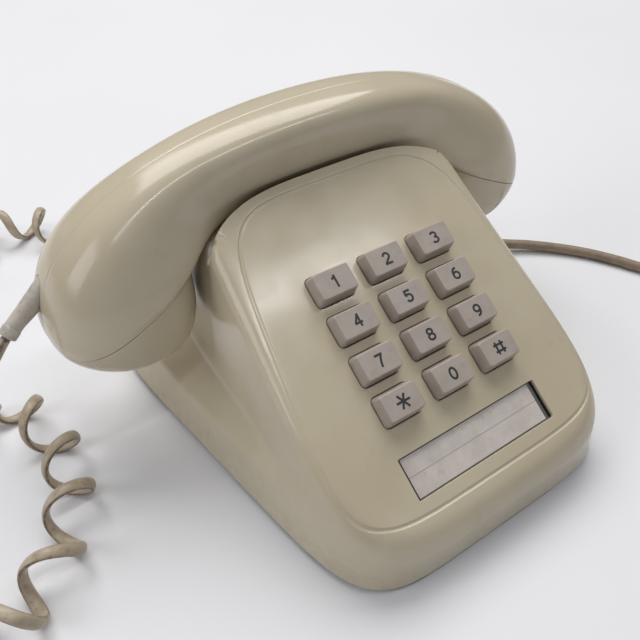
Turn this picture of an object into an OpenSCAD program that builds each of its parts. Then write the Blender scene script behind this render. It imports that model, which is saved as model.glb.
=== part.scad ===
// Corded push-button desk telephone.
// Millimetres, +Z up. The origin is the middle of the base's footprint, on the table.
// The keypad face looks toward -Y and the handset lies along X.

/* [Base shell] */
// depth of the base from front lip to rear edge
base_depth = 160; // [156:1:170]
// width of the footprint at its front edge
base_front_w = 113.6; // [112:0.5:118]
// width of the footprint at its rear edge
base_rear_w = 150; // [144:1:158]
// width of the upper body at its front edge
body_front_w = 117; // [114:0.5:120]
// width of the upper body at its rear edge
body_rear_w = 93; // [88:0.5:93]
// wall thickness of the shell
wall = 2.5; // [2:0.1:3]
// height of the shell's lower edge over the table
skirt_gap = 2.5; // [2:0.1:3]

/* [Keypad face] */
// slope of the face from horizontal, degrees
face_angle = 33.1; // [31:0.1:34]
// height of the face at the middle of the keypad
face_z = 53.2; // [52:0.1:55]
// spacing of the keys across the face
pitch_x = 20.5; // [20:0.1:21]
// spacing of the keys up the face
pitch_v = 14.2; // [14:0.1:14.6]
// width of a key at the face
key_w = 14.3; // [13.5:0.1:16]
// length of a key up the face
key_l = 10.4; // [9.8:0.1:11.2]
// height of a key's top over the face
key_rise = 5.5; // [4.5:0.1:6.5]
// how far a key goes down
key_travel = 3; // [2:0.1:3]
// width of the number window
window_w = 58.6; // [54:0.1:60]
// length of the number window up the face
window_l = 13.8; // [12:0.1:14]

/* [Handset] */
// length of the handset
handset_len = 200.6; // [198:0.1:206]
// height of the handset's top over the table
handset_top = 106.6; // [105:0.1:108]
// depth of the grip, front to back
grip_depth = 26; // [24:0.5:27]
// depth of the two rounded ends, front to back
bulb_depth = 50; // [46:0.5:52]

/* [Cords] */
// radius of the coiled cord's turns, to the strand's middle
coil_r = 7; // [5:0.1:8]
// turns of the coiled cord
coil_turns = 18; // [14:1:22]
// radius of the line cord
line_r = 2.3; // [1.8:0.1:2.6]

/* [Hidden] */
$fn = 32;
hd = base_depth / 2;
key_y = -27;
hand_y = 36.7;
tray_z = 75.4;
top_f = -hd;
top_b = 62;
cy = (top_f + top_b) / 2;
hy = (top_b - top_f) / 2;
tn = 5;
bn = 6.6;
ink = [0.25, 0.25, 0.25];
ivory = [0.77, 0.74, 0.65];
taupe = [0.66, 0.62, 0.58];
steel = [0.62, 0.63, 0.64];
brass = [0.78, 0.62, 0.32];
copper = [0.72, 0.42, 0.24];
fibre = [0.55, 0.42, 0.25];
dark = [0.15, 0.15, 0.16];

// ---------- shared maths ----------
function mix(a, b, t) = a + (b - a) * t;
function sat(t) = min(1, max(0, t));
function sm(t) = let (c = sat(t)) c * c * (3 - 2 * c);
function smin(a, b, k) = let (h = sat(0.5 + 0.5 * (b - a) / k)) mix(b, a, h) - k * h * (1 - h);
function bez(a, b, c, d, t) = let (u = 1 - t) a * u * u * u + b * 3 * u * u * t + c * 3 * u * t * t + d * t * t * t;

// rounded trapezoid: front and rear edge, half widths there, corner exponent
function se(t, f, b, wf, wb, n) =
    let (c = cos(t), s = sin(t))
    let (r = pow(pow(abs(c), n) + pow(abs(s), n), -1 / n))
    [c * r * ((wf + wb) / 2 + (wb - wf) / 2 * s * r), (f + b) / 2 + s * r * (b - f) / 2];

// outlines of the base and of the upper body, d is an inset
function base_pt(t, d) = se(t, -hd + d, hd - d, base_front_w / 2 - d, base_rear_w / 2 - d, bn);
function top_pt(t, d) = se(t, top_f + d, top_b - d, body_front_w / 2 - d, body_rear_w / 2 - d, tn);

// height of the top surface: sloping face, handset trough, rear deck
function face_h(y) = face_z + (y - key_y) * tan(face_angle);
function rear_h(y) = 84 - 0.012 * pow(max(y - 48, 0), 2);
function trough_half(x) = 13.3 + 9.4 * pow(abs(x) / 48, 4);
function trough_h(x, y, d) = tray_z - 1.9 * pow(abs(x) / 45, 4) - d
    + 12 * pow(abs(y - hand_y) / (trough_half(x) + d), 8);
function top_h(x, y, d) = smin(y < hand_y ? face_h(y) - d * 1.19 : rear_h(y) - d * 1.05, trough_h(x, y, d), 3);

// share of the way from the upper outline out to the base outline at height z:
// a skirt, a shoulder at the top of it, and a neck above, fading to a plain taper at the front
shoulder_z = 27;
function flare(z, zw) =
    let (top = min(shoulder_z, zw))
    let (s = 0.26 * (1 - z / zw) + 0.74 * (1 - 0.32 * z / 23) * (1 - sm((z - top + 9) / 9)))
    mix(1 - z / zw, s, sm((zw - 20) / 40));

// right-hand half of the outline, front centre to rear centre
function t_at(y) = let (v = (y - cy) / hy) atan2(v, pow(1 - pow(abs(v), tn), 1 / tn));
half_t = concat([for (i = [0:1:6]) -90 + 7 * i],
    [for (y = [-66, -54, -40, -26, -12, 0, 8, 14.5, 16, 17.2, 18.4, 19.8, 22, 28, 36.7]) t_at(y)],
    [for (y = [44, 49, 51.5, 53, 54.2]) t_at(y)],
    [49, 54, 60, 68, 78, 90]);
nh = len(half_t);
nr = 2 * nh - 2;
ring_t = [for (i = [0:1:nr - 1]) i < nh ? half_t[i] : 180 - half_t[nr - i]];
cells = 14;

function roll_r(t, d) = 5 + 2 * pow(cos(t), 2) - d * 0.6;
function wall_pt(t, f, d, z0) =
    let (p = top_pt(t, d), q = base_pt(t, d), zw = top_h(p[0], p[1], d) - roll_r(t, d))
    let (z = mix(z0, zw, f), g = flare(z, zw), w = mix(p, q, g))
    [w[0], w[1], z];
function roll_pt(t, a, d) =
    let (p = top_pt(t, d), r = roll_r(t, d), l = norm([p[0], p[1] - cy]), k = 1 - r * (1 - cos(a)) / l)
    let (x = p[0] * k, y = cy + (p[1] - cy) * k)
    [x, y, top_h(x, y, d) - r * (1 - sin(a))];

// closed skin of the base shell, inset by d, standing on height z0
module skin(d, z0, walls, rolls) {
    rings = walls + rolls;
    side = [for (i = [0:1:rings]) for (t = ring_t)
        i <= walls ? wall_pt(t, i / walls, d, z0) : roll_pt(t, 90 * (i - walls) / rolls, d)];
    cap = [for (j = [1:1:nh - 2]) for (k = [1:1:cells - 1])
        let (r = roll_pt(half_t[j], 90, d), x = r[0] * (2 * k / cells - 1), y = row_y(x, r))
        [x, y, top_h(x, y, d)]];
    base = rings * nr;
    cap0 = len(side);
    polyhedron(points = concat(side, cap), faces = concat(
        [[for (i = [0:1:nr - 1]) i]],
        [for (i = [0:1:rings - 1]) for (j = [0:1:nr - 1])
            let (a = i * nr + j, b = i * nr + (j + 1) % nr) [a, a + nr, b]],
        [for (i = [0:1:rings - 1]) for (j = [0:1:nr - 1])
            let (a = i * nr + j, b = i * nr + (j + 1) % nr) [b, a + nr, b + nr]],
        [for (j = [1:1:nh - 3]) for (k = [0:1:cells - 1])
            [cap_i(j, k, base, cap0), cap_i(j + 1, k, base, cap0), cap_i(j, k + 1, base, cap0)]],
        [for (j = [1:1:nh - 3]) for (k = [0:1:cells - 1])
            [cap_i(j, k + 1, base, cap0), cap_i(j + 1, k, base, cap0), cap_i(j + 1, k + 1, base, cap0)]],
        [for (k = [0:1:cells - 1])
            [base, cap_i(1, k, base, cap0), cap_i(1, k + 1, base, cap0)]],
        [for (k = [0:1:cells - 1])
            [base + nh - 1, cap_i(nh - 2, k + 1, base, cap0), cap_i(nh - 2, k, base, cap0)]]));
}
// rows beside the trough follow its edge, rows further forward are straight
function row_y(x, r) =
    r[1] < 12 ? r[1] : hand_y + (r[1] - hand_y) * trough_half(x) / trough_half(r[0]);
function cap_i(j, k, base, cap0) =
    k == 0 ? base + nr - j : k == cells ? base + j : cap0 + (j - 1) * (cells - 1) + k - 1;

// skin through rings of equal length, ends closed
module loft(rings) {
    n = len(rings[0]);
    m = len(rings);
    polyhedron(points = [for (r = rings) for (p = r) p], faces = concat(
        [[for (i = [0:1:n - 1]) i]],
        [[for (i = [0:1:n - 1]) (m - 1) * n + n - 1 - i]],
        [for (i = [0:1:m - 2]) for (j = [0:1:n - 1])
            let (a = i * n + j, b = i * n + (j + 1) % n) [a, a + n, b]],
        [for (i = [0:1:m - 2]) for (j = [0:1:n - 1])
            let (a = i * n + j, b = i * n + (j + 1) % n) [b, a + n, b + n]]));
}

// rings of an oval section (half sizes a along side, b along the other) swept along points
function unit(v) = v / max(norm(v), 0.000001);
function tube(path, a, b, n, ref) = [for (i = [0:1:len(path) - 1])
    let (t = unit(path[min(i + 1, len(path) - 1)] - path[max(i - 1, 0)]))
    let (s = unit(cross(ref, t)), u = cross(t, s))
    [for (k = [0:1:n - 1]) path[i] + s * b * cos(360 * k / n) + u * a * sin(360 * k / n)]];

module on_face() {
    translate([0, key_y, face_z])
        rotate([face_angle, 0, 0])
            children();
}
module slab(w, l, r, z0, z1) {
    hull()
        for (x = [-1, 1])
            for (y = [-1, 1])
                translate([x * (w / 2 - r), y * (l / 2 - r), z0])
                    cylinder(r = r, h = z1 - z0, $fn = 16);
}
module block(x0, x1, y0, y1, z0, z1) {
    translate([x0, y0, z0])
        cube([x1 - x0, y1 - y0, z1 - z0]);
}
module rod(p, q, r) {
    v = q - p;
    translate(p)
        rotate([0, acos(v[2] / norm(v)), atan2(v[1], v[0])])
            cylinder(r = r, h = norm(v));
}

// ---------- base shell ----------
win_v = -42.9;
// the four keypad screws, from the middle of the keys
board_x = 34.5;
board_v = 31.4;
// height of the cord holes, and how far left and right they are
cord_z = 11;
cord_left = -44;
cord_right = 38;
// a round thing along Y through the rear wall
module through_rear(x, y0, y1, r) {
    translate([x, y0, cord_z])
        rotate([-90, 0, 0])
            cylinder(r = r, h = y1 - y0);
}
case_screws = [[-38, -60], [38, -60], [-56, 62], [56, 62]];
plunger_x = 24;
module upper_housing() {
    color(ivory)
        difference() {
            union() {
                difference() {
                    skin(0, skirt_gap, 11, 4);
                    skin(wall, skirt_gap - 1, 7, 2);
                }
                intersection() {
                    skin(0.8, skirt_gap - 0.5, 5, 2);
                    union() {
                        for (p = case_screws)
                            translate([p[0], p[1], 5.6])
                                cylinder(r = 4, h = 60, $fn = 20);
                        on_face()
                            for (x = [-1, 1])
                                for (v = [-1, 1])
                                    translate([x * board_x, v * board_v, -13.5])
                                        cylinder(r = 3, h = 12.5, $fn = 16);
                    }
                }
            }
            on_face() {
                for (i = [-1, 0, 1])
                    for (j = [-1.5, -0.5, 0.5, 1.5])
                        translate([i * pitch_x, j * pitch_v, 0])
                            slab(key_w + 0.6, key_l + 0.6, 2, -8, 6);
                translate([0, win_v, 0])
                    slab(window_w, window_l, 0.4, -8, 6);
                for (x = [-1, 1])
                    for (v = [-1, 1])
                        translate([x * board_x, v * board_v, -14])
                            cylinder(r = 1.1, h = 8, $fn = 16);
            }
            for (p = case_screws)
                translate([p[0], p[1], 5])
                    cylinder(r = 1.6, h = 10, $fn = 16);
            for (s = [-1, 1])
                translate([s * plunger_x, hand_y, 60])
                    cylinder(r = 4.2, h = 20, $fn = 24);
            for (x = [cord_left, cord_right])
                through_rear(x, hd - 17, hd + 7, 4.2);
        }
}

// four corner feet and a pad of the same kind in the middle
foot_at = [[-44, -44], [44, -44], [-56, 46], [56, 46], [0, 0]];
post_at = [[-30, -36], [30, -36], [-30, 6], [30, 6]];
bell_post_at = [[-36, 18], [36, 18], [-36, 56], [36, 56]];
module base_plate() {
    color(dark)
        difference() {
            union() {
                translate([0, 0, 3])
                    linear_extrude(2)
                        polygon([for (i = [0:1:71]) wall_pt(5 * i, 0.04, wall + 1.2, 5.5) * 0.998]
                            * [[1, 0], [0, 1], [0, 0]]);
                for (p = post_at)
                    translate([p[0], p[1], 4.9])
                        cylinder(r = 3, h = 6.1);
                for (p = bell_post_at)
                    translate([p[0], p[1], 4.9])
                        cylinder(r = 3.2, h = 5.1);
                block(-3, 3, 62, 66, 4.9, 14);
            }
            for (p = case_screws)
                translate([p[0], p[1], 0])
                    cylinder(r = 1.7, h = 8);
            for (p = foot_at)
                translate([p[0], p[1], 0])
                    cylinder(r = 2.1, h = 8);
            for (p = concat(post_at, bell_post_at))
                translate([p[0], p[1], 5.5])
                    cylinder(r = 1.15, h = 9);
        }
}
module rubber_feet() {
    color(dark)
        for (p = foot_at)
            translate([p[0], p[1], 0]) {
                cylinder(r1 = 6.4, r2 = 7.2, h = 2.95);
                translate([0, 0, 2.9])
                    cylinder(r = 2.02, h = 4);
            }
}
module housing_screws() {
    color(steel)
        for (p = case_screws)
            translate([p[0], p[1], 0]) {
                difference() {
                    translate([0, 0, 1.2])
                        cylinder(r1 = 2.6, r2 = 3.1, h = 1.75);
                    block(-2, 2, -0.4, 0.4, 0.8, 1.9);
                }
                translate([0, 0, 2.9])
                    cylinder(r = 1.5, h = 10);
            }
}

// ---------- number window ----------
module card_tray() {
    color(dark)
        on_face()
            translate([0, win_v, 0])
                difference() {
                    union() {
                        block(-29.1, 29.1, -6.8, 6.8, -4.6, -1);
                        block(-31.5, 31.5, -8.6, 8.6, -4.6, -2.8);
                    }
                    block(-28.6, 28.6, -6.55, 6.55, -1.7, 0);
                }
}
module number_card() {
    color([0.86, 0.83, 0.8])
        on_face()
            block(-28.2, 27, win_v - 6.45, win_v + 6.45, -1.65, -1.35);
}
module card_window() {
    color([0.85, 0.88, 0.9, 0.4])
        on_face()
            block(-28.7, 27.4, win_v - 6.7, win_v + 6.7, -0.95, -0.2);
}

// ---------- keys ----------
// col 0..2 from the left, row 0..3 from the top
module key(col, row) {
    x = (col - 1) * pitch_x;
    v = (1.5 - row) * pitch_v;
    color(taupe)
        on_face()
            translate([x, v, 0]) {
                hull() {
                    slab(key_w, key_l, 1.4, -2, 0.8);
                    slab(key_w - 0.7, key_l - 1.5, 1.1, key_rise - 0.6, key_rise - 0.5);
                    slab(key_w - 1.4, key_l - 2.2, 0.9, key_rise - 0.1, key_rise);
                }
                slab(key_w + 1.4, key_l + 1.4, 1.5, -4, -2.9);
                slab(key_w - 2, key_l - 2, 1, -3, -1.9);
                translate([0, 0, -8.6])
                    cylinder(r = 2.5, h = 5);
            }
}
module key_1() {
    key(0, 0);
}
module key_2() {
    key(1, 0);
}
module key_3() {
    key(2, 0);
}
module key_4() {
    key(0, 1);
}
module key_5() {
    key(1, 1);
}
module key_6() {
    key(2, 1);
}
module key_7() {
    key(0, 2);
}
module key_8() {
    key(1, 2);
}
module key_9() {
    key(2, 2);
}
module key_star() {
    key(0, 3);
}
module key_0() {
    key(1, 3);
}
module key_hash() {
    key(2, 3);
}

// ---------- keypad unit ----------
module keypad_switches() {
    color(ink)
        on_face()
            for (i = [-1, 0, 1])
                for (j = [-1.5, -0.5, 0.5, 1.5])
                    translate([i * pitch_x, j * pitch_v, 0])
                        difference() {
                            block(-6.5, 6.5, -6, 6, -13.45, -7.4);
                            translate([0, 0, -9.3 - key_travel])
                                cylinder(r = 2.56, h = key_travel + 3);
                        }
}
module keypad_board() {
    color(fibre)
        on_face()
            difference() {
                block(-38, 38, -34.5, 34.5, -15.1, -13.55);
                for (x = [-1, 1])
                    for (v = [-1, 1])
                        translate([x * board_x, v * board_v, -16])
                            cylinder(r = 1.5, h = 4);
            }
}
module keypad_screws() {
    color(steel)
        on_face()
            for (x = [-1, 1])
                for (v = [-1, 1])
                    translate([x * board_x, v * board_v, 0]) {
                        translate([0, 0, -16.9])
                            cylinder(r = 2.4, h = 1.75);
                        translate([0, 0, -15.5])
                            cylinder(r = 1, h = 8);
                    }
}
module keypad_cable() {
    top = [0, key_y + 15.8 * sin(face_angle) - 10 * cos(face_angle),
        face_z - 15.8 * cos(face_angle) - 10 * sin(face_angle)];
    path = [for (i = [0:1:10]) bez(top, top + [0, 1, -8], [0, -34, 22], [0, -34, 12.8], i / 10)];
    color([0.6, 0.6, 0.62])
        loft(tube(path, 0.5, 9, 8, [0, 1, 0.001]));
}

// ---------- circuit board ----------
module main_board() {
    color(fibre)
        difference() {
            block(-36, 36, -42, 12, 11.05, 12.6);
            for (p = post_at)
                translate([p[0], p[1], 10])
                    cylinder(r = 1.5, h = 4);
        }
}
module board_screws() {
    color(steel)
        for (p = concat(post_at, bell_post_at))
            translate([p[0], p[1], p[1] > 10 ? 11.65 : 12.65]) {
                cylinder(r = 2.4, h = 1.6);
                translate([0, 0, -4.4])
                    cylinder(r = 1.05, h = 4.6);
            }
}
module board_components() {
    color([0.25, 0.32, 0.42]) {
        for (x = [-22, -14, 16])
            translate([x, -30, 12.65])
                cylinder(r = 2.6, h = 8);
        for (x = [-20, -12, -4])
            block(x, x + 5, -22, -20, 12.65, 15.5);
        block(-27, -13, -16, -9, 12.65, 16.5);
        block(14, 26, -23, -17, 12.65, 21);
    }
}
module speech_transformer() {
    color(copper) {
        difference() {
            block(8, 28, -15, -3, 12.65, 25);
            block(12, 24, -16, -2, 15, 22.5);
        }
        translate([13, -9, 18.75])
            rotate([0, 90, 0])
                cylinder(r = 3.6, h = 10);
        block(11.9, 13.1, -10, -8, 17.5, 20);
        block(22.9, 24.1, -10, -8, 17.5, 20);
    }
}
module terminal_block() {
    color(dark)
        difference() {
            block(6, 30, 60, 68, 5.05, 12);
            for (x = [10, 16, 22, 27])
                translate([x, 64, 9])
                    cylinder(r = 1.5, h = 4);
        }
}

// ---------- ringer ----------
bell_x = 25;
module ringer_frame() {
    color(steel)
        difference() {
            union() {
                block(-39.4, 39.4, 14.4, 59.5, 10.05, 11.6);
                for (s = [-1, 1])
                    translate([s * bell_x, hand_y, 11.5])
                        cylinder(r = 3, h = 14.5);
                translate([0, 18, 11.5])
                    cylinder(r = 3, h = 7.4);
                translate([0, 18, 11.5])
                    cylinder(r = 1.8, h = 9.6);
            }
            for (p = bell_post_at)
                translate([p[0], p[1], 9])
                    cylinder(r = 1.5, h = 4);
            for (s = [-1, 1])
                translate([s * bell_x, hand_y, 16])
                    cylinder(r = 1.2, h = 12);
            block(-5, 5, 30, 46, 9, 12.5);
        }
}
module gong(x) {
    translate([x, hand_y, 0])
        color(brass)
            rotate_extrude($fn = 48)
                difference() {
                    union() {
                        translate([0, 26.05])
                            square([12, 1.5]);
                        intersection() {
                            translate([10.5, 18.5])
                                difference() {
                                    circle(r = 8.6, $fn = 48);
                                    circle(r = 7.1, $fn = 48);
                                }
                            translate([11, 18.5])
                                square([9, 10]);
                        }
                        translate([17.6, 14.5])
                            square([1.5, 4.1]);
                    }
                    square([1.6, 40]);
                }
}
module bell_gong_left() {
    gong(-bell_x);
}
module bell_gong_right() {
    gong(bell_x);
}
module gong_screws() {
    color(steel)
        for (s = [-1, 1])
            translate([s * bell_x, hand_y, 0]) {
                translate([0, 0, 27.65])
                    cylinder(r = 3, h = 1.9);
                translate([0, 0, 18])
                    cylinder(r = 1.1, h = 9.8);
            }
}
module ringer_core() {
    color(steel)
        difference() {
            union() {
                block(-24, 24, 15, 17.5, 24.5, 33);
                block(-24, -20, 2, 15.2, 24.5, 33);
                block(20, 24, 2, 15.2, 24.5, 33);
                block(-21, 21, 4, 7.5, 27, 30.5);
                block(-6, 6, 15, 23, 24.5, 26);
            }
            translate([0, 18, 20])
                cylinder(r = 1.5, h = 10);
            block(-1.6, 1.6, 18, 24, 20, 30);
        }
    color(steel) {
        block(-24, -20, 4, 8, 12.65, 24.6);
        block(20, 24, 4, 8, 12.65, 24.6);
    }
}
module ringer_coil() {
    color(copper)
        difference() {
            union() {
                translate([-17, 5.75, 28.75])
                    rotate([0, 90, 0])
                        cylinder(r = 6.4, h = 34);
                for (x = [-19.5, 17.5])
                    translate([x, 5.75, 28.75])
                        rotate([0, 90, 0])
                            cylinder(r = 8, h = 2);
                translate([-18, 5.75, 28.75])
                    rotate([0, 90, 0])
                        cylinder(r = 3, h = 36);
            }
            block(-30, 30, 3.9, 7.6, 26.9, 30.6);
        }
}
module ringer_clapper() {
    color(steel) {
        difference() {
            union() {
                translate([0, 18, 19])
                    cylinder(r = 4, h = 1.5);
                block(-2, 2, 11.5, 18, 19, 20.5);
                block(-15, 15, 9.6, 11.8, 19, 20.5);
            }
            translate([0, 18, 15])
                cylinder(r = 1.85, h = 10);
        }
        translate([0, hand_y, 18])
            sphere(r = 3.4, $fn = 24);
        rod([0, 21.2, 19.75], [0, hand_y - 1, 18.6], 0.7);
    }
}

// ---------- hook switch ----------
hook_y = 53.5;
hook_z = 57;
hook_w = 27;
// along the hook axis, w to each side of the middle
module hook_axis(w, r) {
    translate([-w, hook_y, hook_z])
        rotate([0, 90, 0])
            cylinder(r = r, h = 2 * w);
}
module cradle_plunger(x) {
    color([0.85, 0.83, 0.78])
        translate([x, hand_y, 0]) {
            translate([0, 0, 62])
                cylinder(r = 3.9, h = 15.7);
            translate([0, 0, 60.5])
                cylinder(r = 6, h = 1.7);
        }
}
module cradle_plunger_left() {
    cradle_plunger(-plunger_x);
}
module cradle_plunger_right() {
    cradle_plunger(plunger_x);
}
module hook_switch_bracket() {
    out = hook_w + 1.8;
    color(steel)
        difference() {
            union() {
                block(-out, out, 57, 58.2, 16, 48);
                block(-out, out, 57, 66, 14.1, 16.1);
                for (s = [-1, 1])
                    translate([s * (hook_w + 1.05), 0, 0])
                        block(-0.75, 0.75, 50, 58.2, 40, 60);
            }
            hook_axis(40, 1.55);
        }
}
module hook_lever_pin() {
    color(steel)
        hook_axis(hook_w + 3.5, 1.5);
}
module hook_lever() {
    color(dark)
        difference() {
            union() {
                hook_axis(hook_w, 2.6);
                for (s = [-1, 1]) {
                    rod([s * plunger_x, hook_y, hook_z - 0.2], [s * plunger_x, hand_y, 56.8], 1.8);
                    translate([s * plunger_x - 3, hand_y, 57.4])
                        rotate([0, 90, 0])
                            cylinder(r = 3, h = 6);
                }
                block(-3, 3, hook_y - 1, hook_y + 1, 43, hook_z);
            }
            hook_axis(40, 1.55);
        }
}
module hook_switch_blades() {
    color(brass) {
        block(-9, 9, 54.7, 56.95, 20, 27);
        for (x = [-6, 0, 6]) {
            block(x - 1.5, x + 1.5, 54.8, 55.2, 26, 46);
            block(x - 1.5, x + 1.5, 56.2, 56.6, 26, 42);
        }
    }
}

// ---------- cords ----------
function track(p, u) =
    let (n = len(p) - 1, f = sat(u) * n, i = min(n - 1, floor(f)), t = f - i)
    let (a = p[max(i - 1, 0)], b = p[i], c = p[i + 1], d = p[min(i + 2, n)])
    0.5 * (2 * b + (c - a) * t + (2 * a - 5 * b + 4 * c - d) * t * t + (3 * b - a - 3 * c + d) * t * t * t);

coil_path = [[-122, 66], [-112, 45], [-110, 22], [-116, 2], [-131, -17], [-149, -24],
    [-165, -12], [-171, 12], [-169, 42], [-161, 74], [-148, 106], [-131, 136], [-110, 162],
    [-88, 177], [-70, 170], [-62, 150], [-56, 128], [-50, 108]];
coil_z = coil_r + 1.4;
cord_low = 3.2;
function coil_dir(u) = unit(track(coil_path, min(1, u + 0.004)) - track(coil_path, max(0, u - 0.004)));
function coil_full(u) = sm(u / 0.03) * sm((1 - u) / 0.03);
function coil_out(u) =
    let (t = coil_dir(u), a = 360 * coil_turns * u + 90)
    [-t[1] * cos(a), t[0] * cos(a), sin(a)];
function coil_pt(u) =
    let (c = track(coil_path, u), e = coil_full(u))
    [c[0], c[1], mix(cord_low, coil_z, e)] + coil_r * e * coil_out(u);
boot_path = [[-91.5, 43, 68.5], [-95, 42.3, 66.4], [-98.6, 41.6, 63.7], [-102.8, 40.4, 61],
    [-107.2, 39.2, 58.6], [-111.5, 38, 55.6]];
boot_r = 3.3;
// station i of a path, carried on straight before its start
function track_on(p, i) = i < 0 ? p[0] + (p[0] - p[1]) * -i : p[i];

// one strand: down from the boot, round the coil, up into the base
// each station is its point, the direction its flat side faces, and how flat it is
module handset_cord() {
    steps = coil_turns * 12;
    drop = [for (i = [0:1:7])
        [bez([-111.9, 37.9, 55.2], [-122, 36, 46], [-134, 56, 6], [-122, 66, cord_low], i / 8),
            mix([-0.6, 0.4, 0.7], [0, 0, 1], i / 8), 0]];
    coil = [for (i = [0:1:steps]) [coil_pt(i / steps), coil_out(i / steps), coil_full(i / steps)]];
    tail = [for (i = [1:1:6])
        [bez([-50, 108, cord_low], [-46, 96, cord_low], [cord_left, 92, cord_z], [cord_left, 79, cord_z], i / 6),
            [0, 0, 1], 0]];
    strand = concat(drop, coil, tail);
    last = len(strand) - 1;
    color([0.62, 0.58, 0.5])
        loft([for (i = [0:1:last])
            let (t = unit(strand[min(i + 1, last)][0] - strand[max(i - 1, 0)][0]))
            let (s = unit(cross(strand[i][1], t)), q = cross(t, s), e = strand[i][2])
            [for (k = [0:60:300])
                strand[i][0] + s * mix(1.6, 2.2, e) * cos(k) + q * mix(1.6, 1.3, e) * sin(k)]]);
}
module grommet(x, bore) {
    color(ink)
        difference() {
            union() {
                through_rear(x, 64.5, 82, 4.1);
                through_rear(x, 64.5, 66.5, 4.8);
            }
            through_rear(x, 76, 84, bore);
        }
}
module handset_cord_grommet() {
    grommet(cord_left, 2.3);
}
line_path = [[cord_right, 77, cord_z], [cord_right, 84, cord_z], [39.5, 91.5, 7.2], [48, 96, 3],
    [66, 84, 2.6], [84, 62, 3], [97, 44, 4], [110, 31, 4], [121, 23, 3.4], [132, 13, 2.8],
    [141, 2, 2.6], [148, -10, 2.6], [153, -20, 2.5], [161, -29, 2.5], [173, -34, 2.5]];
module line_cord() {
    path = [for (i = [0:1:56]) track(line_path, i / 56)];
    color([0.58, 0.5, 0.42])
        loft(tube(path, line_r, line_r, 8, [0, 0, 1]));
}
module line_cord_grommet() {
    grommet(cord_right, line_r + 0.5);
}
module line_plug() {
    color([0.8, 0.78, 0.72])
        translate([173.2, -34, 0.1])
            rotate([0, 0, -16]) {
                translate([0.2, -4.8, 0])
                    cube([12.5, 9.6, 6.6]);
                translate([2, -3, 6.5])
                    cube([8, 6, 0.9]);
            }
}

// ---------- handset ----------
hx = handset_len / 2;
// inner side of each rounded end, from the middle
hand_neck = 51.5;
// outer and inner profile of a handset half: 0 is the middle, 1 the end cap's joint, 2 the tip
function outer_at(s) = s <= 1
    ? bez([0, handset_top], [72.9, handset_top], [hx, 78.6], [hx, 53.1], s)
    : bez([hx, 53.1], [hx, 44], [hx - 7.5, 40.2], [hx - 16, 39.6], s - 1);
function inner_at(s) = s <= 1
    ? bez([0, 78.2], [24.7, 78.2], [hand_neck, 78.6], [hand_neck, 69.6], s)
    : bez([hand_neck, 69.6], [hand_neck - 1, 57], [48.5, 40.2], [63, 39.6], s - 1);
// the cap's joint is tilted: later along the outer profile, earlier along the inner one
function tilt(s) = 0.2 * sm((s - 0.5) / 0.5) * (1 - sm((s - 1) / 0.9));
function hand_o(s) = outer_at(s + tilt(s));
function hand_i(s) = inner_at(s - 0.6 * tilt(s));
function hand_b(s) = s <= 1
    ? mix(grip_depth, bulb_depth, sm((s - 0.25) / 0.65)) / 2
    : bulb_depth / 2 * (1 - 0.26 * pow(s - 1, 2.6));
// ring s (negative on the left), inset d
function hand_ring(s, d, n) =
    let (a = abs(s), g = s < 0 ? -1 : 1, o = hand_o(a), i = hand_i(a), c = (o + i) / 2, v = (o - i) / 2)
    let (k = 1 - d / norm(v), b = hand_b(a) - d, e = mix(3, 2.6, sm(a)))
    [for (j = [0:1:n - 1])
        let (t = 360 * j / n, x = cos(t), y = sin(t), r = pow(pow(abs(x), e) + pow(abs(y), e), -1 / e))
        let (w = 1 + 0.24 * (1 - sm(a / 0.8)) * x * r)
        [g * (c[0] + v[0] * k * x * r), hand_y + b * w * y * r, c[1] + v[1] * k * x * r]];
module hand_loft(s0, s1, m, d, n) {
    loft([for (i = [0:1:m]) hand_ring(mix(max(s0, s1), min(s0, s1), i / m), d, n)]);
}
module handset_shell() {
    color(ivory)
        difference() {
            hand_loft(-1, 1, 30, 0, 24);
            hand_loft(-1.04, 1.04, 16, 2.3, 16);
            loft(tube([for (i = [-1:1:4]) track_on(boot_path, i)],
                boot_r + 0.25, boot_r + 0.25, 12, [0, 1, 0]));
        }
}
module hand_cap(g) {
    difference() {
        hand_loft(1.008 * g, 2 * g, 9, 0, 24);
        hand_loft(0.97 * g, 1.86 * g, 6, 2.3, 16);
        for (a = [0:60:300])
            translate([g * 73.7 + 5 * cos(a), hand_y + 5 * sin(a), 36])
                cylinder(r = 0.8, h = 8, $fn = 8);
        translate([g * 73.7, hand_y, 36])
            cylinder(r = 0.8, h = 8, $fn = 8);
    }
}
module ear_cap() {
    color(ivory)
        hand_cap(1);
}
module mouth_cap() {
    color(ivory)
        hand_cap(-1);
}
// the capsules' middle and tilt at end g
module capsule_axis(g) {
    translate([g * 74.4, hand_y, 55])
        rotate([0, g * 13, 0])
            children();
}
module capsule(g) {
    capsule_axis(g) {
        translate([0, 0, -4])
            cylinder(r = 16.5, h = 7);
        translate([0, 0, 2.9])
            cylinder(r = 10, h = 3);
    }
}
module ear_capsule() {
    color(steel)
        capsule(1);
}
module mouth_capsule() {
    color(ink)
        capsule(-1);
}
module capsule_springs() {
    color(brass)
        for (g = [-1, 1])
            capsule_axis(g)
                for (y = [-5, 5])
                    translate([0, y, 5.95])
                        cylinder(r = 1.2, h = 3);
}
module handset_wires() {
    path = [for (i = [0:1:24])
        let (s = mix(-0.78, 0.78, i / 24), o = hand_o(abs(s)), n = hand_i(abs(s)))
        [sign(s) * (o[0] + n[0]) / 2, hand_y, (o[1] + n[1]) / 2 + 1]];
    color([0.6, 0.25, 0.2])
        loft(tube(path, 1.2, 1.2, 6, [0, 1, 0]));
}
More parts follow.
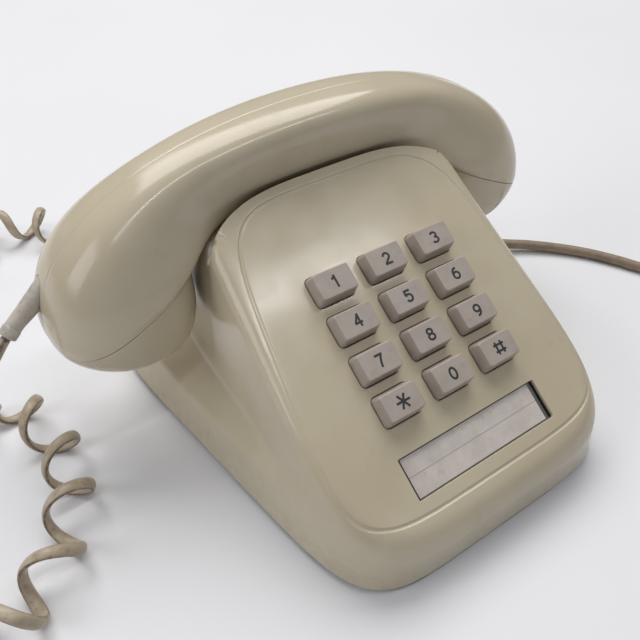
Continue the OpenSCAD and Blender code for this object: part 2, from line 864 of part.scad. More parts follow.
module cord_boot() {
    pts = [for (i = [0:1:12]) track(boot_path, i / 12)];
    rings = tube(pts, boot_r, boot_r, 12, [0, 1, 0]);
    color([0.55, 0.54, 0.52])
        loft([for (i = [0:1:12]) [for (p = rings[i]) mix(pts[i], p, 1 - 0.16 * sm((i - 5) / 6))]]);
}

upper_housing();
base_plate();
rubber_feet();
housing_screws();
card_tray();
number_card();
card_window();
key_1();
key_2();
key_3();
key_4();
key_5();
key_6();
key_7();
key_8();
key_9();
key_star();
key_0();
key_hash();
keypad_switches();
keypad_board();
keypad_screws();
keypad_cable();
main_board();
board_screws();
board_components();
speech_transformer();
terminal_block();
ringer_frame();
ringer_coil();
ringer_core();
bell_gong_left();
bell_gong_right();
gong_screws();
ringer_clapper();
hook_switch_bracket();
hook_switch_blades();
hook_lever();
hook_lever_pin();
cradle_plunger_left();
cradle_plunger_right();
line_cord();
line_cord_grommet();
line_plug();
handset_cord();
handset_cord_grommet();
handset_shell();
ear_cap();
mouth_cap();
ear_capsule();
mouth_capsule();
capsule_springs();
handset_wires();
cord_boot();
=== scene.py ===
"""Looks of a corded push-button desk telephone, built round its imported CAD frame."""

import math

import bmesh
import bpy
import numpy as np
from mathutils import Matrix, Vector
from mathutils.geometry import delaunay_2d_cdt


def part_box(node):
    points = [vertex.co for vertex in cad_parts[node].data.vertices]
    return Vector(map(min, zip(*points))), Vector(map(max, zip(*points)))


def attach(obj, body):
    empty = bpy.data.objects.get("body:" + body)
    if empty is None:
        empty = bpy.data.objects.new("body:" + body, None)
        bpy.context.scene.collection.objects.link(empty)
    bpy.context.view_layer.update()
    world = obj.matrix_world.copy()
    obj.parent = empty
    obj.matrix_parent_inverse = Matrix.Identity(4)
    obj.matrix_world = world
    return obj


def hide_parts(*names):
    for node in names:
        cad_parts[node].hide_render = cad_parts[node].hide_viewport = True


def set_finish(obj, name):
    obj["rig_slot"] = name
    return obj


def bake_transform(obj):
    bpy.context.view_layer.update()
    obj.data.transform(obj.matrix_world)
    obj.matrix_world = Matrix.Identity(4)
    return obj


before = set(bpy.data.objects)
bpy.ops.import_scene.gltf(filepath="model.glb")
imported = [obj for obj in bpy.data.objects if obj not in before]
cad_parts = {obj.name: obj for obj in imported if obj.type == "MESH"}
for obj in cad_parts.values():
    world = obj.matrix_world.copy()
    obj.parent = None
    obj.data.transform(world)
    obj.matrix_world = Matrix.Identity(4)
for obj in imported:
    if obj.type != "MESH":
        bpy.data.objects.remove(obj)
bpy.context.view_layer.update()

MM = 0.001

# ---------- sizes, in millimetres, shared with the CAD's own construction ----------
FACE_ANGLE = math.radians(33.1)
KEY_Y, FACE_Z = -27.0, 53.2
PITCH_X, PITCH_V = 20.5, 14.2
KEY_W, KEY_L, KEY_RISE = 14.3, 10.4, 5.5
KEY_GAP = 0.6
WINDOW_W, WINDOW_L, WINDOW_V = 58.6, 13.8, -42.9
WALL = 2.5
SKIRT_GAP = 2.5
HALF_DEPTH = 80.0
BASE_HALF_FRONT, BASE_HALF_REAR, BASE_CORNER = 56.8, 75.0, 6.6
TOP_FRONT, TOP_REAR = -80.0, 62.0
TOP_HALF_FRONT, TOP_HALF_REAR, TOP_CORNER = 58.5, 46.5, 5.0
HAND_Y, TRAY_Z = 36.7, 75.4
PLUNGER_X = 24.0
CORD_Z = 11.0
SHOULDER_Z = 27.0

SLOPE_T = np.array([0.0, math.cos(FACE_ANGLE), math.sin(FACE_ANGLE)])
SLOPE_N = np.array([0.0, -math.sin(FACE_ANGLE), math.cos(FACE_ANGLE)])


# ---------- small maths ----------
def mix(a, b, t):
    return a + (b - a) * t


def smooth(t):
    t = np.clip(t, 0.0, 1.0)
    return t * t * (3 - 2 * t)


def soft_min(a, b, k):
    h = np.clip(0.5 + 0.5 * (b - a) / k, 0, 1)
    return mix(b, a, h) - k * h * (1 - h)


def bezier(p, t):
    p = [np.asarray(q, float) for q in p]
    t = np.asarray(t, float)[..., None]
    u = 1 - t
    return p[0] * u**3 + 3 * p[1] * u * u * t + 3 * p[2] * u * t * t + p[3] * t**3


def track(points, u):
    """Smooth curve through points, u from 0 to 1."""
    p = np.asarray(points, float)
    n = len(p) - 1
    f = np.clip(np.asarray(u, float), 0, 1) * n
    i = np.minimum(n - 1, np.floor(f).astype(int))
    t = (f - i)[..., None]
    a, b = p[np.maximum(i - 1, 0)], p[i]
    c, d = p[i + 1], p[np.minimum(i + 2, n)]
    return 0.5 * (2 * b + (c - a) * t + (2 * a - 5 * b + 4 * c - d) * t**2 + (3 * b - a - 3 * c + d) * t**3)


def on_face(u, v, n=0.0):
    """Row-frame point of face coordinates: u across, v up the slope, n out of it."""
    u, v, n = np.broadcast_arrays(np.asarray(u, float), v, n)
    base = np.array([0.0, KEY_Y, FACE_Z])
    return base + u[..., None] * [1.0, 0, 0] + v[..., None] * SLOPE_T + n[..., None] * SLOPE_N


def oval(t, front, rear, half_front, half_rear, corner):
    """Rounded trapezoid outline at angles t."""
    c, s = np.cos(t), np.sin(t)
    r = (np.abs(c) ** corner + np.abs(s) ** corner) ** (-1 / corner)
    half = (half_front + half_rear) / 2 + (half_rear - half_front) / 2 * s * r
    return np.stack([c * r * half, (front + rear) / 2 + s * r * (rear - front) / 2], -1)


# ---------- mesh helpers ----------
def new_mesh(name, points, faces, material, smooth_shading=True):
    mesh = bpy.data.meshes.new(name)
    mesh.from_pydata([tuple(p) for p in np.asarray(points, float) * MM], [], [tuple(f) for f in faces])
    mesh.validate()
    mesh.update()
    if smooth_shading:
        mesh.shade_smooth()
    obj = bpy.data.objects.new(name, mesh)
    bpy.context.scene.collection.objects.link(obj)
    mesh.materials.append(material)
    return obj


def ring_faces(rings, count, first=0):
    """Quads between successive rings of count points, numbered from first."""
    faces = []
    for i in range(rings - 1):
        for j in range(count):
            a, b = first + i * count + j, first + i * count + (j + 1) % count
            faces.append((a, b, b + count, a + count))
    return faces


def loft(name, rings, material, capped=True):
    """Closed skin through rings of points."""
    rings = np.asarray(rings, float)
    m, n = rings.shape[:2]
    faces = ring_faces(m, n)
    if capped:
        faces.append(tuple(reversed(range(n))))
        faces.append(tuple(range((m - 1) * n, m * n)))
    obj = new_mesh(name, rings.reshape(-1, 3), faces, material)
    fix_normals(obj)
    return obj


def fix_normals(obj):
    bm = bmesh.new()
    bm.from_mesh(obj.data)
    bmesh.ops.recalc_face_normals(bm, faces=bm.faces)
    bm.to_mesh(obj.data)
    bm.free()


def weld(obj, distance=0.00002):
    bm = bmesh.new()
    bm.from_mesh(obj.data)
    bmesh.ops.remove_doubles(bm, verts=bm.verts, dist=distance)
    bmesh.ops.recalc_face_normals(bm, faces=bm.faces)
    bm.to_mesh(obj.data)
    bm.free()
    obj.data.shade_smooth()


def crease(obj, degrees=35):
    """Smooth shading that breaks at edges sharper than degrees."""
    bm = bmesh.new()
    bm.from_mesh(obj.data)
    for e in bm.edges:
        e.smooth = e.calc_face_angle(0) < math.radians(degrees)
    bm.to_mesh(obj.data)
    bm.free()
    weigh(obj)


def weigh(obj):
    mod = obj.modifiers.new("face_weights", "WEIGHTED_NORMAL")
    mod.keep_sharp = True
    mod.weight = 80


def join(name, objs):
    """One mesh object from several."""
    for o in bpy.context.selected_objects:
        o.select_set(False)
    for o in objs:
        o.select_set(True)
    bpy.context.view_layer.objects.active = objs[0]
    bpy.ops.object.join()
    objs[0].name = name
    objs[0].data.name = name
    objs[0].select_set(False)
    return objs[0]


def sweep(path, half_a, half_b, count, ref):
    """Rings of an oval section along path; half_b lies along ref x direction."""
    path = np.asarray(path, float)
    half_a = np.broadcast_to(np.asarray(half_a, float), len(path))
    half_b = np.broadcast_to(np.asarray(half_b, float), len(path))
    tangent = np.gradient(path, axis=0)
    tangent /= np.linalg.norm(tangent, axis=1)[:, None]
    side = np.cross(np.broadcast_to(np.asarray(ref, float), path.shape), tangent)
    side /= np.linalg.norm(side, axis=1)[:, None]
    up = np.cross(tangent, side)
    t = np.arange(count) * 2 * math.pi / count
    return (
        path[:, None]
        + side[:, None] * (half_b[:, None] * np.cos(t))[..., None]
        + up[:, None] * (half_a[:, None] * np.sin(t))[..., None]
    )


# ---------- base shell: the same surface as the CAD's, more finely divided ----------
def top_outline(t, inset):
    return oval(t, TOP_FRONT + inset, TOP_REAR - inset, TOP_HALF_FRONT - inset, TOP_HALF_REAR - inset, TOP_CORNER)


def base_outline(t, inset):
    return oval(
        t, -HALF_DEPTH + inset, HALF_DEPTH - inset, BASE_HALF_FRONT - inset, BASE_HALF_REAR - inset, BASE_CORNER
    )


def face_height(y):
    return FACE_Z + (y - KEY_Y) * math.tan(FACE_ANGLE)


def trough_half(x):
    return 13.3 + 9.4 * (np.abs(x) / 48) ** 4


def top_height(x, y, inset):
    rear = 84 - 0.012 * np.maximum(y - 48, 0) ** 2
    slab = np.where(y < HAND_Y, face_height(y) - inset * 1.19, rear - inset * 1.05)
    trough = TRAY_Z - 1.9 * (np.abs(x) / 45) ** 4 - inset
    trough = trough + 12 * (np.abs(y - HAND_Y) / (trough_half(x) + inset)) ** 8
    return soft_min(slab, trough, 3.0)


def flare(z, wall_top):
    """Share of the way from the upper outline out to the footprint at height z."""
    top = np.minimum(SHOULDER_Z, wall_top)
    steep = 0.26 * (1 - z / wall_top) + 0.74 * (1 - 0.32 * z / 23) * (1 - smooth((z - top + 9) / 9))
    return mix(1 - z / wall_top, steep, smooth((wall_top - 20) / 40))


def roll_radius(t, inset):
    return 5 + 2 * np.cos(t) ** 2 - inset * 0.6


def wall_ring(t, f, inset, z0):
    p, q = top_outline(t, inset), base_outline(t, inset)
    wall_top = top_height(p[:, 0], p[:, 1], inset) - roll_radius(t, inset)
    z = mix(z0, wall_top, f)
    g = flare(z, wall_top)[:, None]
    return np.column_stack([mix(p, q, g), z])


def roll_ring(t, a, inset):
    p, r = top_outline(t, inset), roll_radius(t, inset)
    cy = (TOP_FRONT + TOP_REAR) / 2
    k = 1 - r * (1 - math.cos(a)) / np.hypot(p[:, 0], p[:, 1] - cy)
    x, y = p[:, 0] * k, cy + (p[:, 1] - cy) * k
    return np.column_stack([x, y, top_height(x, y, inset) - r * (1 - math.sin(a))])


# radius and parameter of the upper outline against the angle seen from its centre
CENTRE_Y = (TOP_FRONT + TOP_REAR) / 2
OUTLINE_T = np.linspace(-math.pi, math.pi, 7201)
OUTLINE_XY = top_outline(OUTLINE_T, 0)
OUTLINE_ANGLE = np.arctan2(OUTLINE_XY[:, 1] - CENTRE_Y, OUTLINE_XY[:, 0])
OUTLINE_ANGLE[0], OUTLINE_ANGLE[-1] = -math.pi, math.pi
OUTLINE_REACH = np.hypot(OUTLINE_XY[:, 0], OUTLINE_XY[:, 1] - CENTRE_Y)


def skin_height(x, y):
    """Height of the outer surface anywhere inside the upper outline, its rolled edge included."""
    angle = np.arctan2(y - CENTRE_Y, x)
    reach = np.interp(angle, OUTLINE_ANGLE, OUTLINE_REACH)
    r = roll_radius(np.interp(angle, OUTLINE_ANGLE, OUTLINE_T), 0)
    c = np.clip(1 - (reach - np.hypot(x, y - CENTRE_Y)) / r, 0, 1)
    return top_height(x, y, 0) - r * (1 - np.sqrt(1 - c * c))


class Skin:
    """Points and faces of one mesh as it is put together."""

    def __init__(self):
        self.points = []
        self.faces = []

    def add(self, points):
        first = len(self.points)
        self.points.extend(tuple(p) for p in np.asarray(points, float))
        return list(range(first, len(self.points)))

    def bridge(self, a, b, closed=True):
        n = len(a)
        for j in range(n if closed else n - 1):
            k = (j + 1) % n
            self.faces.append((a[j], a[k], b[k], b[j]))

    def bridge_all(self, rings, closed=True):
        for a, b in zip(rings, rings[1:]):
            self.bridge(a, b, closed)

    def patch(self, loops, extra, flat):
        """Triangles inside the first loop and outside the others; flat lays points out in 2-D."""
        index = [i for loop in loops for i in loop] + list(extra)
        laid = flat(np.array([self.points[i] for i in index]))
        edges, first = [], 0
        for loop in loops:
            n = len(loop)
            edges += [(first + i, first + (i + 1) % n) for i in range(n)]
            first += n
        done = delaunay_2d_cdt([Vector(p) for p in laid], edges, [], 0, 1e-7)
        corners = np.array([[index[done[3][i][0]] for i in tri] for tri in done[2]])
        middle = np.array([np.mean([done[0][i] for i in tri], axis=0) for tri in done[2]])
        inside = inside_edges(middle, laid[[e[0] for e in edges]], laid[[e[1] for e in edges]])
        self.faces.extend(tuple(t) for t in corners[inside])


def rounded_rect(w, l, r, steps=6):
    """Closed 2-D loop with round corners, steps spans to a corner."""
    loop = []
    for quarter, (sx, sy) in enumerate([(1, 1), (-1, 1), (-1, -1), (1, -1)]):
        for i in range(steps + 1):
            a = math.radians(90 * (quarter + i / steps))
            loop.append([sx * (w / 2 - r) + r * math.cos(a), sy * (l / 2 - r) + r * math.sin(a)])
    return np.array(loop)


def face_flat(points):
    """Face coordinates (across, up the slope) of points on or near the face."""
    return np.column_stack([points[:, 0], (points[:, 1:] - [KEY_Y, FACE_Z]) @ SLOPE_T[1:]])


def half_angles():
    """Outline parameters from front centre to rear centre, close together at the trough's walls,
    with the places where the trough starts and ends."""
    t = np.radians(np.linspace(-89.9, 89.9, 3600))
    ring = roll_ring(t, math.pi / 2, 0)
    q = (ring[:, 1] - HAND_Y) / trough_half(ring[:, 0])
    rising = t > 0
    reach = 1.05 * np.sin(np.linspace(-1, 1, 91) * math.pi / 2)
    trough = np.interp(reach, q[rising], t[rising])
    front = np.linspace(-math.pi / 2, trough[0], 90)[:-1]
    rear = np.linspace(trough[-1], math.pi / 2, 30)[1:]
    return np.concatenate([front, trough, rear]), len(front), len(front) + len(trough) - 1


def trough_row(x, ring_x, ring_y, inset):
    """Places along x of the row that starts at a ring point and keeps its share of the trough."""
    share = (trough_half(x) + inset) / (trough_half(ring_x) + inset)
    return HAND_Y + (ring_y - HAND_Y) * share


def trough_rows(skin, ring, first, last, cells, inset):
    """Rows across the top from ring point first to last, each joined to the one before."""
    n = len(ring)
    rows = []
    for j in range(first, last + 1):
        x0, y0 = skin.points[ring[j]][:2]
        x = x0 * (2 * np.arange(1, cells) / cells - 1)
        y = trough_row(x, x0, y0, inset)
        inner = skin.add(np.column_stack([x, y, top_height(x, y, inset)]))
        rows.append([ring[n - j]] + inner + [ring[j]])
    skin.bridge_all(rows, closed=False)
    return rows


def rear_deck(skin, ring, row, last, inset):
    """The deck behind the trough, filled from its last row to the ring's rear stretch."""
    n = len(ring)
    loop = row + [ring[j] for j in range(last + 1, n - last)]
    edge = np.array([skin.points[i] for i in loop])[:, :2]
    x, y = np.meshgrid(np.arange(-44, 44.1, 1.6), np.arange(HAND_Y + 10, TOP_REAR, 1.3))
    inner = np.column_stack([x.ravel(), y.ravel()])
    clear = np.linalg.norm(inner[:, None] - edge, axis=2).min(1) > 0.9
    inner = inner[clear & inside_edges(inner, edge, np.roll(edge, -1, axis=0))]
    extra = skin.add(np.column_stack([inner, top_height(inner[:, 0], inner[:, 1], inset)]))
    skin.patch([loop], extra, lambda p: p[:, :2])


def inside_edges(points, a, b):
    """Which points lie inside the closed outlines whose edges run from a to b."""
    spans = (a[:, 1] > points[:, None, 1]) != (b[:, 1] > points[:, None, 1])
    rise = np.where(b[:, 1] == a[:, 1], 1e-12, b[:, 1] - a[:, 1])
    cross_x = a[:, 0] + (points[:, None, 1] - a[:, 1]) / rise * (b[:, 0] - a[:, 0])
    return (spans & (cross_x > points[:, None, 0])).sum(1) % 2 == 1


def face_openings():
    """Each opening of the face: its middle and its rounded size."""
    holes = [(0.0, WINDOW_V, WINDOW_W, WINDOW_L, 0.5)]
    for column in (-1, 0, 1):
        for row in (-1.5, -0.5, 0.5, 1.5):
            size = (KEY_W + KEY_GAP, KEY_L + KEY_GAP, 2.0)
            holes.append((column * PITCH_X, row * PITCH_V, *size))
    return holes


def opening_walls(skin, depth):
    """Rolled rims and walls of the openings; gives their loops on the face and underneath."""
    rim = [(0.14, 0.0), (0.05, -0.04), (0.0, -0.14), (0.0, depth)]
    outer, under = [], []
    for u, v, w, l, r in face_openings():
        rings = []
        for grow, n in rim:
            loop = rounded_rect(w + 2 * grow, l + 2 * grow, r + grow)
            rings.append(skin.add(on_face(u + loop[:, 0], v + loop[:, 1], n)))
        skin.bridge_all(rings)
        outer.append(rings[0])
        under.append(rings[-1])
    return outer, under


GROOVE = (-54.7, 55.9, 55.9, 42.7, 5.3)
GROOVE_PROFILE = [(0.85, 0.0), (0.68, -0.04), (0.5, -0.17), (0.28, -0.3), (0.0, -0.34),
                  (-0.28, -0.3), (-0.5, -0.17), (-0.68, -0.04), (-0.85, 0.0)]


def face_edge(skin, border):
    """From the border loop in to the groove, through it, and on to where the face is flat."""
    points = np.array([skin.points[i] for i in border])
    flat = face_flat(points)
    t = np.linspace(-math.pi, math.pi, 7201)
    track_uv = oval(t, *GROOVE)
    angle = np.unwrap(np.arctan2(track_uv[:, 1], track_uv[:, 0]))
    wanted = np.arctan2(flat[:, 1], flat[:, 0])
    lowest = angle[0]
    wanted = lowest + (wanted - lowest) % (2 * math.pi)
    line = np.column_stack([np.interp(wanted, angle, track_uv[:, k]) for k in (0, 1)])
    along = np.roll(line, -1, axis=0) - np.roll(line, 1, axis=0)
    along /= np.linalg.norm(along, axis=1)[:, None]
    out = np.column_stack([along[:, 1], -along[:, 0]])
    if (out * line).sum() < 0:
        out = -out

    def placed(uv, depth):
        p = on_face(uv[:, 0], uv[:, 1])
        p[:, 2] = skin_height(p[:, 0], p[:, 1])
        return skin.add(p + SLOPE_N * depth)

    first = line + out * GROOVE_PROFILE[0][0]
    rings = [border]
    for share in (0.25, 0.5, 0.75):
        xy = mix(points[:, :2], on_face(first[:, 0], first[:, 1])[:, :2], share)
        rings.append(skin.add(np.column_stack([xy, skin_height(xy[:, 0], xy[:, 1])])))
    for offset, depth in GROOVE_PROFILE:
        rings.append(placed(line + out * offset, depth))
    for offset in (-1.3, -1.9, -2.6, -3.4):
        rings.append(placed(line + out * offset, 0.0))
    skin.bridge_all(rings)
    return rings[-1]


def housing_mesh():
    """Outer and inner skins of the upper housing, closed round its lower rim."""
    half_t, first, last = half_angles()
    t = np.concatenate([half_t, (math.pi - half_t[1:-1])[::-1]])
    n = len(t)
    skin = Skin()
    rim_radius = 0.35

    # inner skin, from the rim upward
    inner = [skin.add(wall_ring(t, f, WALL, SKIRT_GAP + rim_radius)) for f in np.linspace(0, 1, 14) ** 1.3]
    inner += [skin.add(roll_ring(t, math.radians(a), WALL)) for a in (30, 60, 90)]
    skin.bridge_all(inner)

    # lower rim, outer wall and rolled edge
    rim = [skin.add(wall_ring(t, 0, inset, SKIRT_GAP)) for inset in (WALL - rim_radius, rim_radius)]
    shares = np.linspace(0, 1, 46) ** 1.3
    outer = [skin.add(wall_ring(t, f, 0, SKIRT_GAP + rim_radius)) for f in shares]
    roll_steps = (8, 16, 24, 32, 40, 48)
    outer += [skin.add(roll_ring(t, math.radians(a), 0)) for a in roll_steps]
    skin.bridge_all([inner[0]] + rim + outer)

    # the roll goes on to its end beside and behind the trough only
    open_part = list(range(first, n - first + 1))
    rest = [outer[-1]]
    for a in (56, 64, 72, 81, 90):
        ring = roll_ring(t, math.radians(a), 0)
        numbers = [None] * n
        for j, number in zip(open_part, skin.add(ring[open_part])):
            numbers[j] = number
        rest.append(numbers)
    skin.bridge_all([[ring[j] for j in open_part] for ring in rest], closed=False)
    rows = trough_rows(skin, rest[-1], first, last, 72, 0.0)
    rear_deck(skin, rest[-1], rows[-1], last, 0.0)

    # face: border loop, groove, flat middle with its openings
    front = [outer[-1][j % n] for j in range(-first, first + 1)]
    right = [ring[first] for ring in rest[1:-1]]
    left = [ring[n - first] for ring in rest[1:-1]]
    border = front + right + rows[0][::-1] + left[::-1]
    flat_edge = face_edge(skin, border)
    depth = -1.19 * WALL * math.cos(FACE_ANGLE)
    on_top, below = opening_walls(skin, depth)
    skin.patch([flat_edge] + on_top, [], face_flat)

    # underside of the top
    under = trough_rows(skin, inner[-1], first, last, 36, WALL)
    rear_deck(skin, inner[-1], under[-1], last, WALL)
    edge = [inner[-1][j % n] for j in range(-first, first + 1)] + under[0][-2:0:-1]
    skin.patch([edge] + below, [], face_flat)
    return skin


# ---------- materials ----------
def linear(r, g, b):
    """Scene-linear colour of screen values from 0 to 255."""
    return [((c / 255 + 0.055) / 1.055) ** 2.4 if c > 10.3 else c / 255 / 12.92 for c in (r, g, b)] + [1.0]


class Surface:
    """A node material being built: a principled shader and short calls for the nodes that feed it.
    Texture places are in millimetres of the object's own frame."""

    def __init__(self, name):
        self.material = bpy.data.materials.new(name)
        self.material.use_nodes = True
        self.tree = self.material.node_tree
        self.tree.nodes.clear()
        output = self.tree.nodes.new("ShaderNodeOutputMaterial")
        self.shader = self.tree.nodes.new("ShaderNodeBsdfPrincipled")
        self.tree.links.new(self.shader.outputs[0], output.inputs[0])
        place = self.tree.nodes.new("ShaderNodeTexCoord").outputs["Object"]
        self.place = self.scaled(place, (1000, 1000, 1000))

    def node(self, kind, settings=None, **inputs):
        made = self.tree.nodes.new("ShaderNode" + kind)
        for key, value in (settings or {}).items():
            setattr(made, key, value)
        for key, value in inputs.items():
            self.feed(made.inputs[key.replace("_", " ")], value)
        return made

    def feed(self, socket, value):
        if isinstance(value, bpy.types.NodeSocket):
            self.tree.links.new(value, socket)
        else:
            socket.default_value = value

    def set(self, **inputs):
        for key, value in inputs.items():
            self.feed(self.shader.inputs[key.replace("_", " ")], value)

    def scaled(self, place, scale, turn=(0, 0, 0), shift=(0, 0, 0)):
        return self.node("Mapping", Vector=place, Scale=scale, Rotation=turn, Location=shift).outputs[0]

    def noise(self, size, detail=3.0, rough=0.5, place=None, warp=0.0):
        """Soft noise, 0 to 1, with blobs about size millimetres across."""
        made = self.node("TexNoise", Vector=place or self.place, Scale=1 / size, Detail=detail)
        made.inputs["Roughness"].default_value = rough
        made.inputs["Distortion"].default_value = warp
        return made.outputs[0]

    def span(self, value, low, high, to_low=0.0, to_high=1.0):
        """Value from low to high, turned into to_low to to_high and held there."""
        made = self.node("MapRange", {"interpolation_type": "SMOOTHSTEP"}, Value=value)
        for key, number in zip(("From Min", "From Max", "To Min", "To Max"), (low, high, to_low, to_high)):
            made.inputs[key].default_value = number
        return made.outputs[0]

    def maths(self, operation, a, b=0.0):
        made = self.tree.nodes.new("ShaderNodeMath")
        made.operation = operation
        self.feed(made.inputs[0], a)
        self.feed(made.inputs[1], b)
        return made.outputs[0]

    def blend(self, share, a, b, mode="MIX"):
        made = self.node("Mix", {"data_type": "RGBA", "blend_type": mode})
        self.feed(made.inputs[0], share)
        self.feed(made.inputs[6], a)
        self.feed(made.inputs[7], b)
        return made.outputs[2]

    def specks(self, spacing, radius, share, place=None):
        """Small irregular dots: one in a share of the cells of a scattered grid."""
        wobble = self.noise(radius * 2.5, 2.0)
        cell = self.node("TexVoronoi", Vector=place or self.place, Scale=1 / spacing)
        chosen = self.maths("LESS_THAN", self.node("SeparateColor", Color=cell.outputs["Color"]).outputs[0], share)
        edge = self.maths("MULTIPLY", self.span(wobble, 0.3, 0.7, 0.4, 1.6), radius / spacing)
        near = self.maths("LESS_THAN", cell.outputs["Distance"], edge)
        return self.maths("MULTIPLY", chosen, near)

    def scratches(self, turn, length, width, cover):
        """Fine straight marks: noise drawn out along one direction, cut to its crests."""
        drawn = self.scaled(self.place, (1 / length, 1 / width, 1 / length), turn=turn)
        crest = self.span(self.noise(1.0, 2.0, 0.6, place=drawn), 0.71, 0.76)
        patches = self.span(self.noise(22.0, 2.0), 1 - cover, 1 - cover + 0.12)
        return self.maths("MULTIPLY", crest, patches)

    def height(self):
        return self.node("SeparateXYZ", Vector=self.place).outputs[2]

    def bump(self, value, depth, under=None):
        """Bump of depth millimetres over what is under it."""
        made = self.node("Bump", Height=value, Strength=1.0, Distance=depth * MM)
        if under is not None:
            self.feed(made.inputs["Normal"], under)
        return made.outputs[0]

    def edges(self, low, high):
        """Share of outward edges, from the mesh's own curvature."""
        return self.span(self.node("NewGeometry").outputs["Pointiness"], low, high)


def moulded_plastic(name, light, dark, grime, rough=0.17, peel=0.003, wave=0.05):
    """Glossy moulded plastic, aged: faint patches, a few specks and scuffs, darker brownish patches low down."""
    s = Surface(name)
    tone = s.blend(s.span(s.noise(38.0, 3.0, 0.55), 0.35, 0.68), light, dark)
    tone = s.blend(s.span(s.noise(5.0, 4.0, 0.6), 0.4, 0.9, 0.0, 0.1), tone, dark)
    smear = s.span(s.noise(9.0, 5.0, 0.65, warp=1.2), 0.56, 0.74)
    tone = s.blend(s.maths("MULTIPLY", smear, 0.06), tone, grime)
    # darker, browner patches towards the bottom, fading out between 3 mm and 20 mm up
    low = s.span(s.height(), 3.0, 20.0, 1.0, 0.0)
    low = s.maths("MULTIPLY", low, s.span(s.noise(4.0, 4.0, 0.7), 0.25, 0.8))
    tone = s.blend(s.maths("MULTIPLY", low, 0.2), tone, grime)
    dots = s.maths("MAXIMUM", s.specks(8.0, 0.15, 0.22), s.specks(19.0, 0.3, 0.25))
    tone = s.blend(s.maths("MULTIPLY", dots, 0.65), tone, linear(58, 46, 32))
    marks = s.maths("MAXIMUM", s.scratches((0.3, 0.1, 0.9), 26.0, 0.35, 0.36),
                    s.scratches((0.1, 0.5, -0.5), 18.0, 0.3, 0.33))
    tone = s.blend(s.maths("MULTIPLY", marks, 0.2), tone, grime)
    dull = s.maths("ADD", s.span(s.noise(13.0, 4.0, 0.6), 0.3, 0.8, rough - 0.05, rough + 0.06),
                   s.maths("MULTIPLY", smear, 0.06))
    dull = s.maths("ADD", dull, s.maths("MULTIPLY", marks, 0.14))
    s.set(Base_Color=tone, Roughness=dull, IOR=1.5, Specular_IOR_Level=0.5)
    normal = s.bump(s.noise(16.0, 1.0), wave)
    normal = s.bump(s.noise(0.9, 2.0), peel, normal)
    normal = s.bump(s.maths("SUBTRACT", 1.0, dots), 0.02, normal)
    s.set(Normal=normal)
    return s.material


def key_plastic():
    """Matt taupe key plastic, slightly soiled on its slopes, its edges lighter with wear and a painted highlight."""
    s = Surface("key_taupe")
    tone = s.blend(s.span(s.noise(6.0, 4.0, 0.6), 0.3, 0.75), linear(178, 168, 159), linear(169, 158, 149))
    # lighter rims on the convex edges: edge wear plus a painted highlight standing in for the bevels' highlight lines
    rim_wear_and_highlight = s.edges(0.51, 0.56)
    tone = s.blend(s.maths("MULTIPLY", rim_wear_and_highlight, 0.5), tone, linear(196, 185, 174))
    tone = s.blend(s.maths("MULTIPLY", s.specks(3.2, 0.1, 0.35), 0.5), tone, linear(70, 58, 48))
    smear = s.span(s.noise(3.0, 5.0, 0.7), 0.55, 0.75)
    tone = s.blend(s.maths("MULTIPLY", smear, 0.16), tone, linear(104, 90, 76))
    s.set(Base_Color=tone, Roughness=s.span(s.noise(2.5, 3.0), 0.3, 0.7, 0.42, 0.56))
    normal = s.bump(s.noise(7.0, 1.0), 0.03)
    s.set(Normal=s.bump(s.noise(0.35, 3.0, 0.6), 0.008, normal))
    return s.material


def printed_ink():
    """Dark grey printed figures, worn a little thin in places."""
    s = Surface("legend_ink")
    thin = s.span(s.noise(0.5, 3.0, 0.7), 0.62, 0.8, 0.0, 0.55)
    s.set(Base_Color=s.blend(thin, linear(50, 50, 52), linear(88, 84, 82)), Roughness=0.5)
    s.set(Normal=s.bump(s.noise(0.3, 2.0), 0.006))
    return s.material


def soft_jacket(name, light, dark, grime, rough, grain, depth, pits=0.0):
    """Vinyl or rubber skin with soiling and fine pits, darkened in patches along its edge attribute where it has one.
    """
    s = Surface(name)
    tone = s.blend(s.span(s.noise(7.0, 3.0, 0.6), 0.3, 0.7), light, dark)
    soil = s.span(s.noise(2.2, 5.0, 0.7), 0.5, 0.78)
    tone = s.blend(s.maths("MULTIPLY", soil, 0.5), tone, grime)
    # darker patches along the edges marked by the edge attribute, which are the coiled strand's flat edges
    strand_edge_darkening = s.node("Attribute", {"attribute_name": "edge"}).outputs["Fac"]
    strand_edge_darkening = s.maths("MULTIPLY", strand_edge_darkening, s.span(s.noise(1.6, 4.0, 0.7), 0.3, 0.6, 0.25, 1.0))
    tone = s.blend(strand_edge_darkening, tone, grime)
    if pits:
        tone = s.blend(s.maths("MULTIPLY", s.specks(0.9, 0.14, pits), 0.6), tone, grime)
    s.set(Base_Color=tone, Roughness=s.span(s.noise(1.5, 4.0), 0.3, 0.7, rough - 0.07, rough + 0.1))
    s.set(Normal=s.bump(s.noise(grain, 4.0, 0.65), depth))
    return s.material


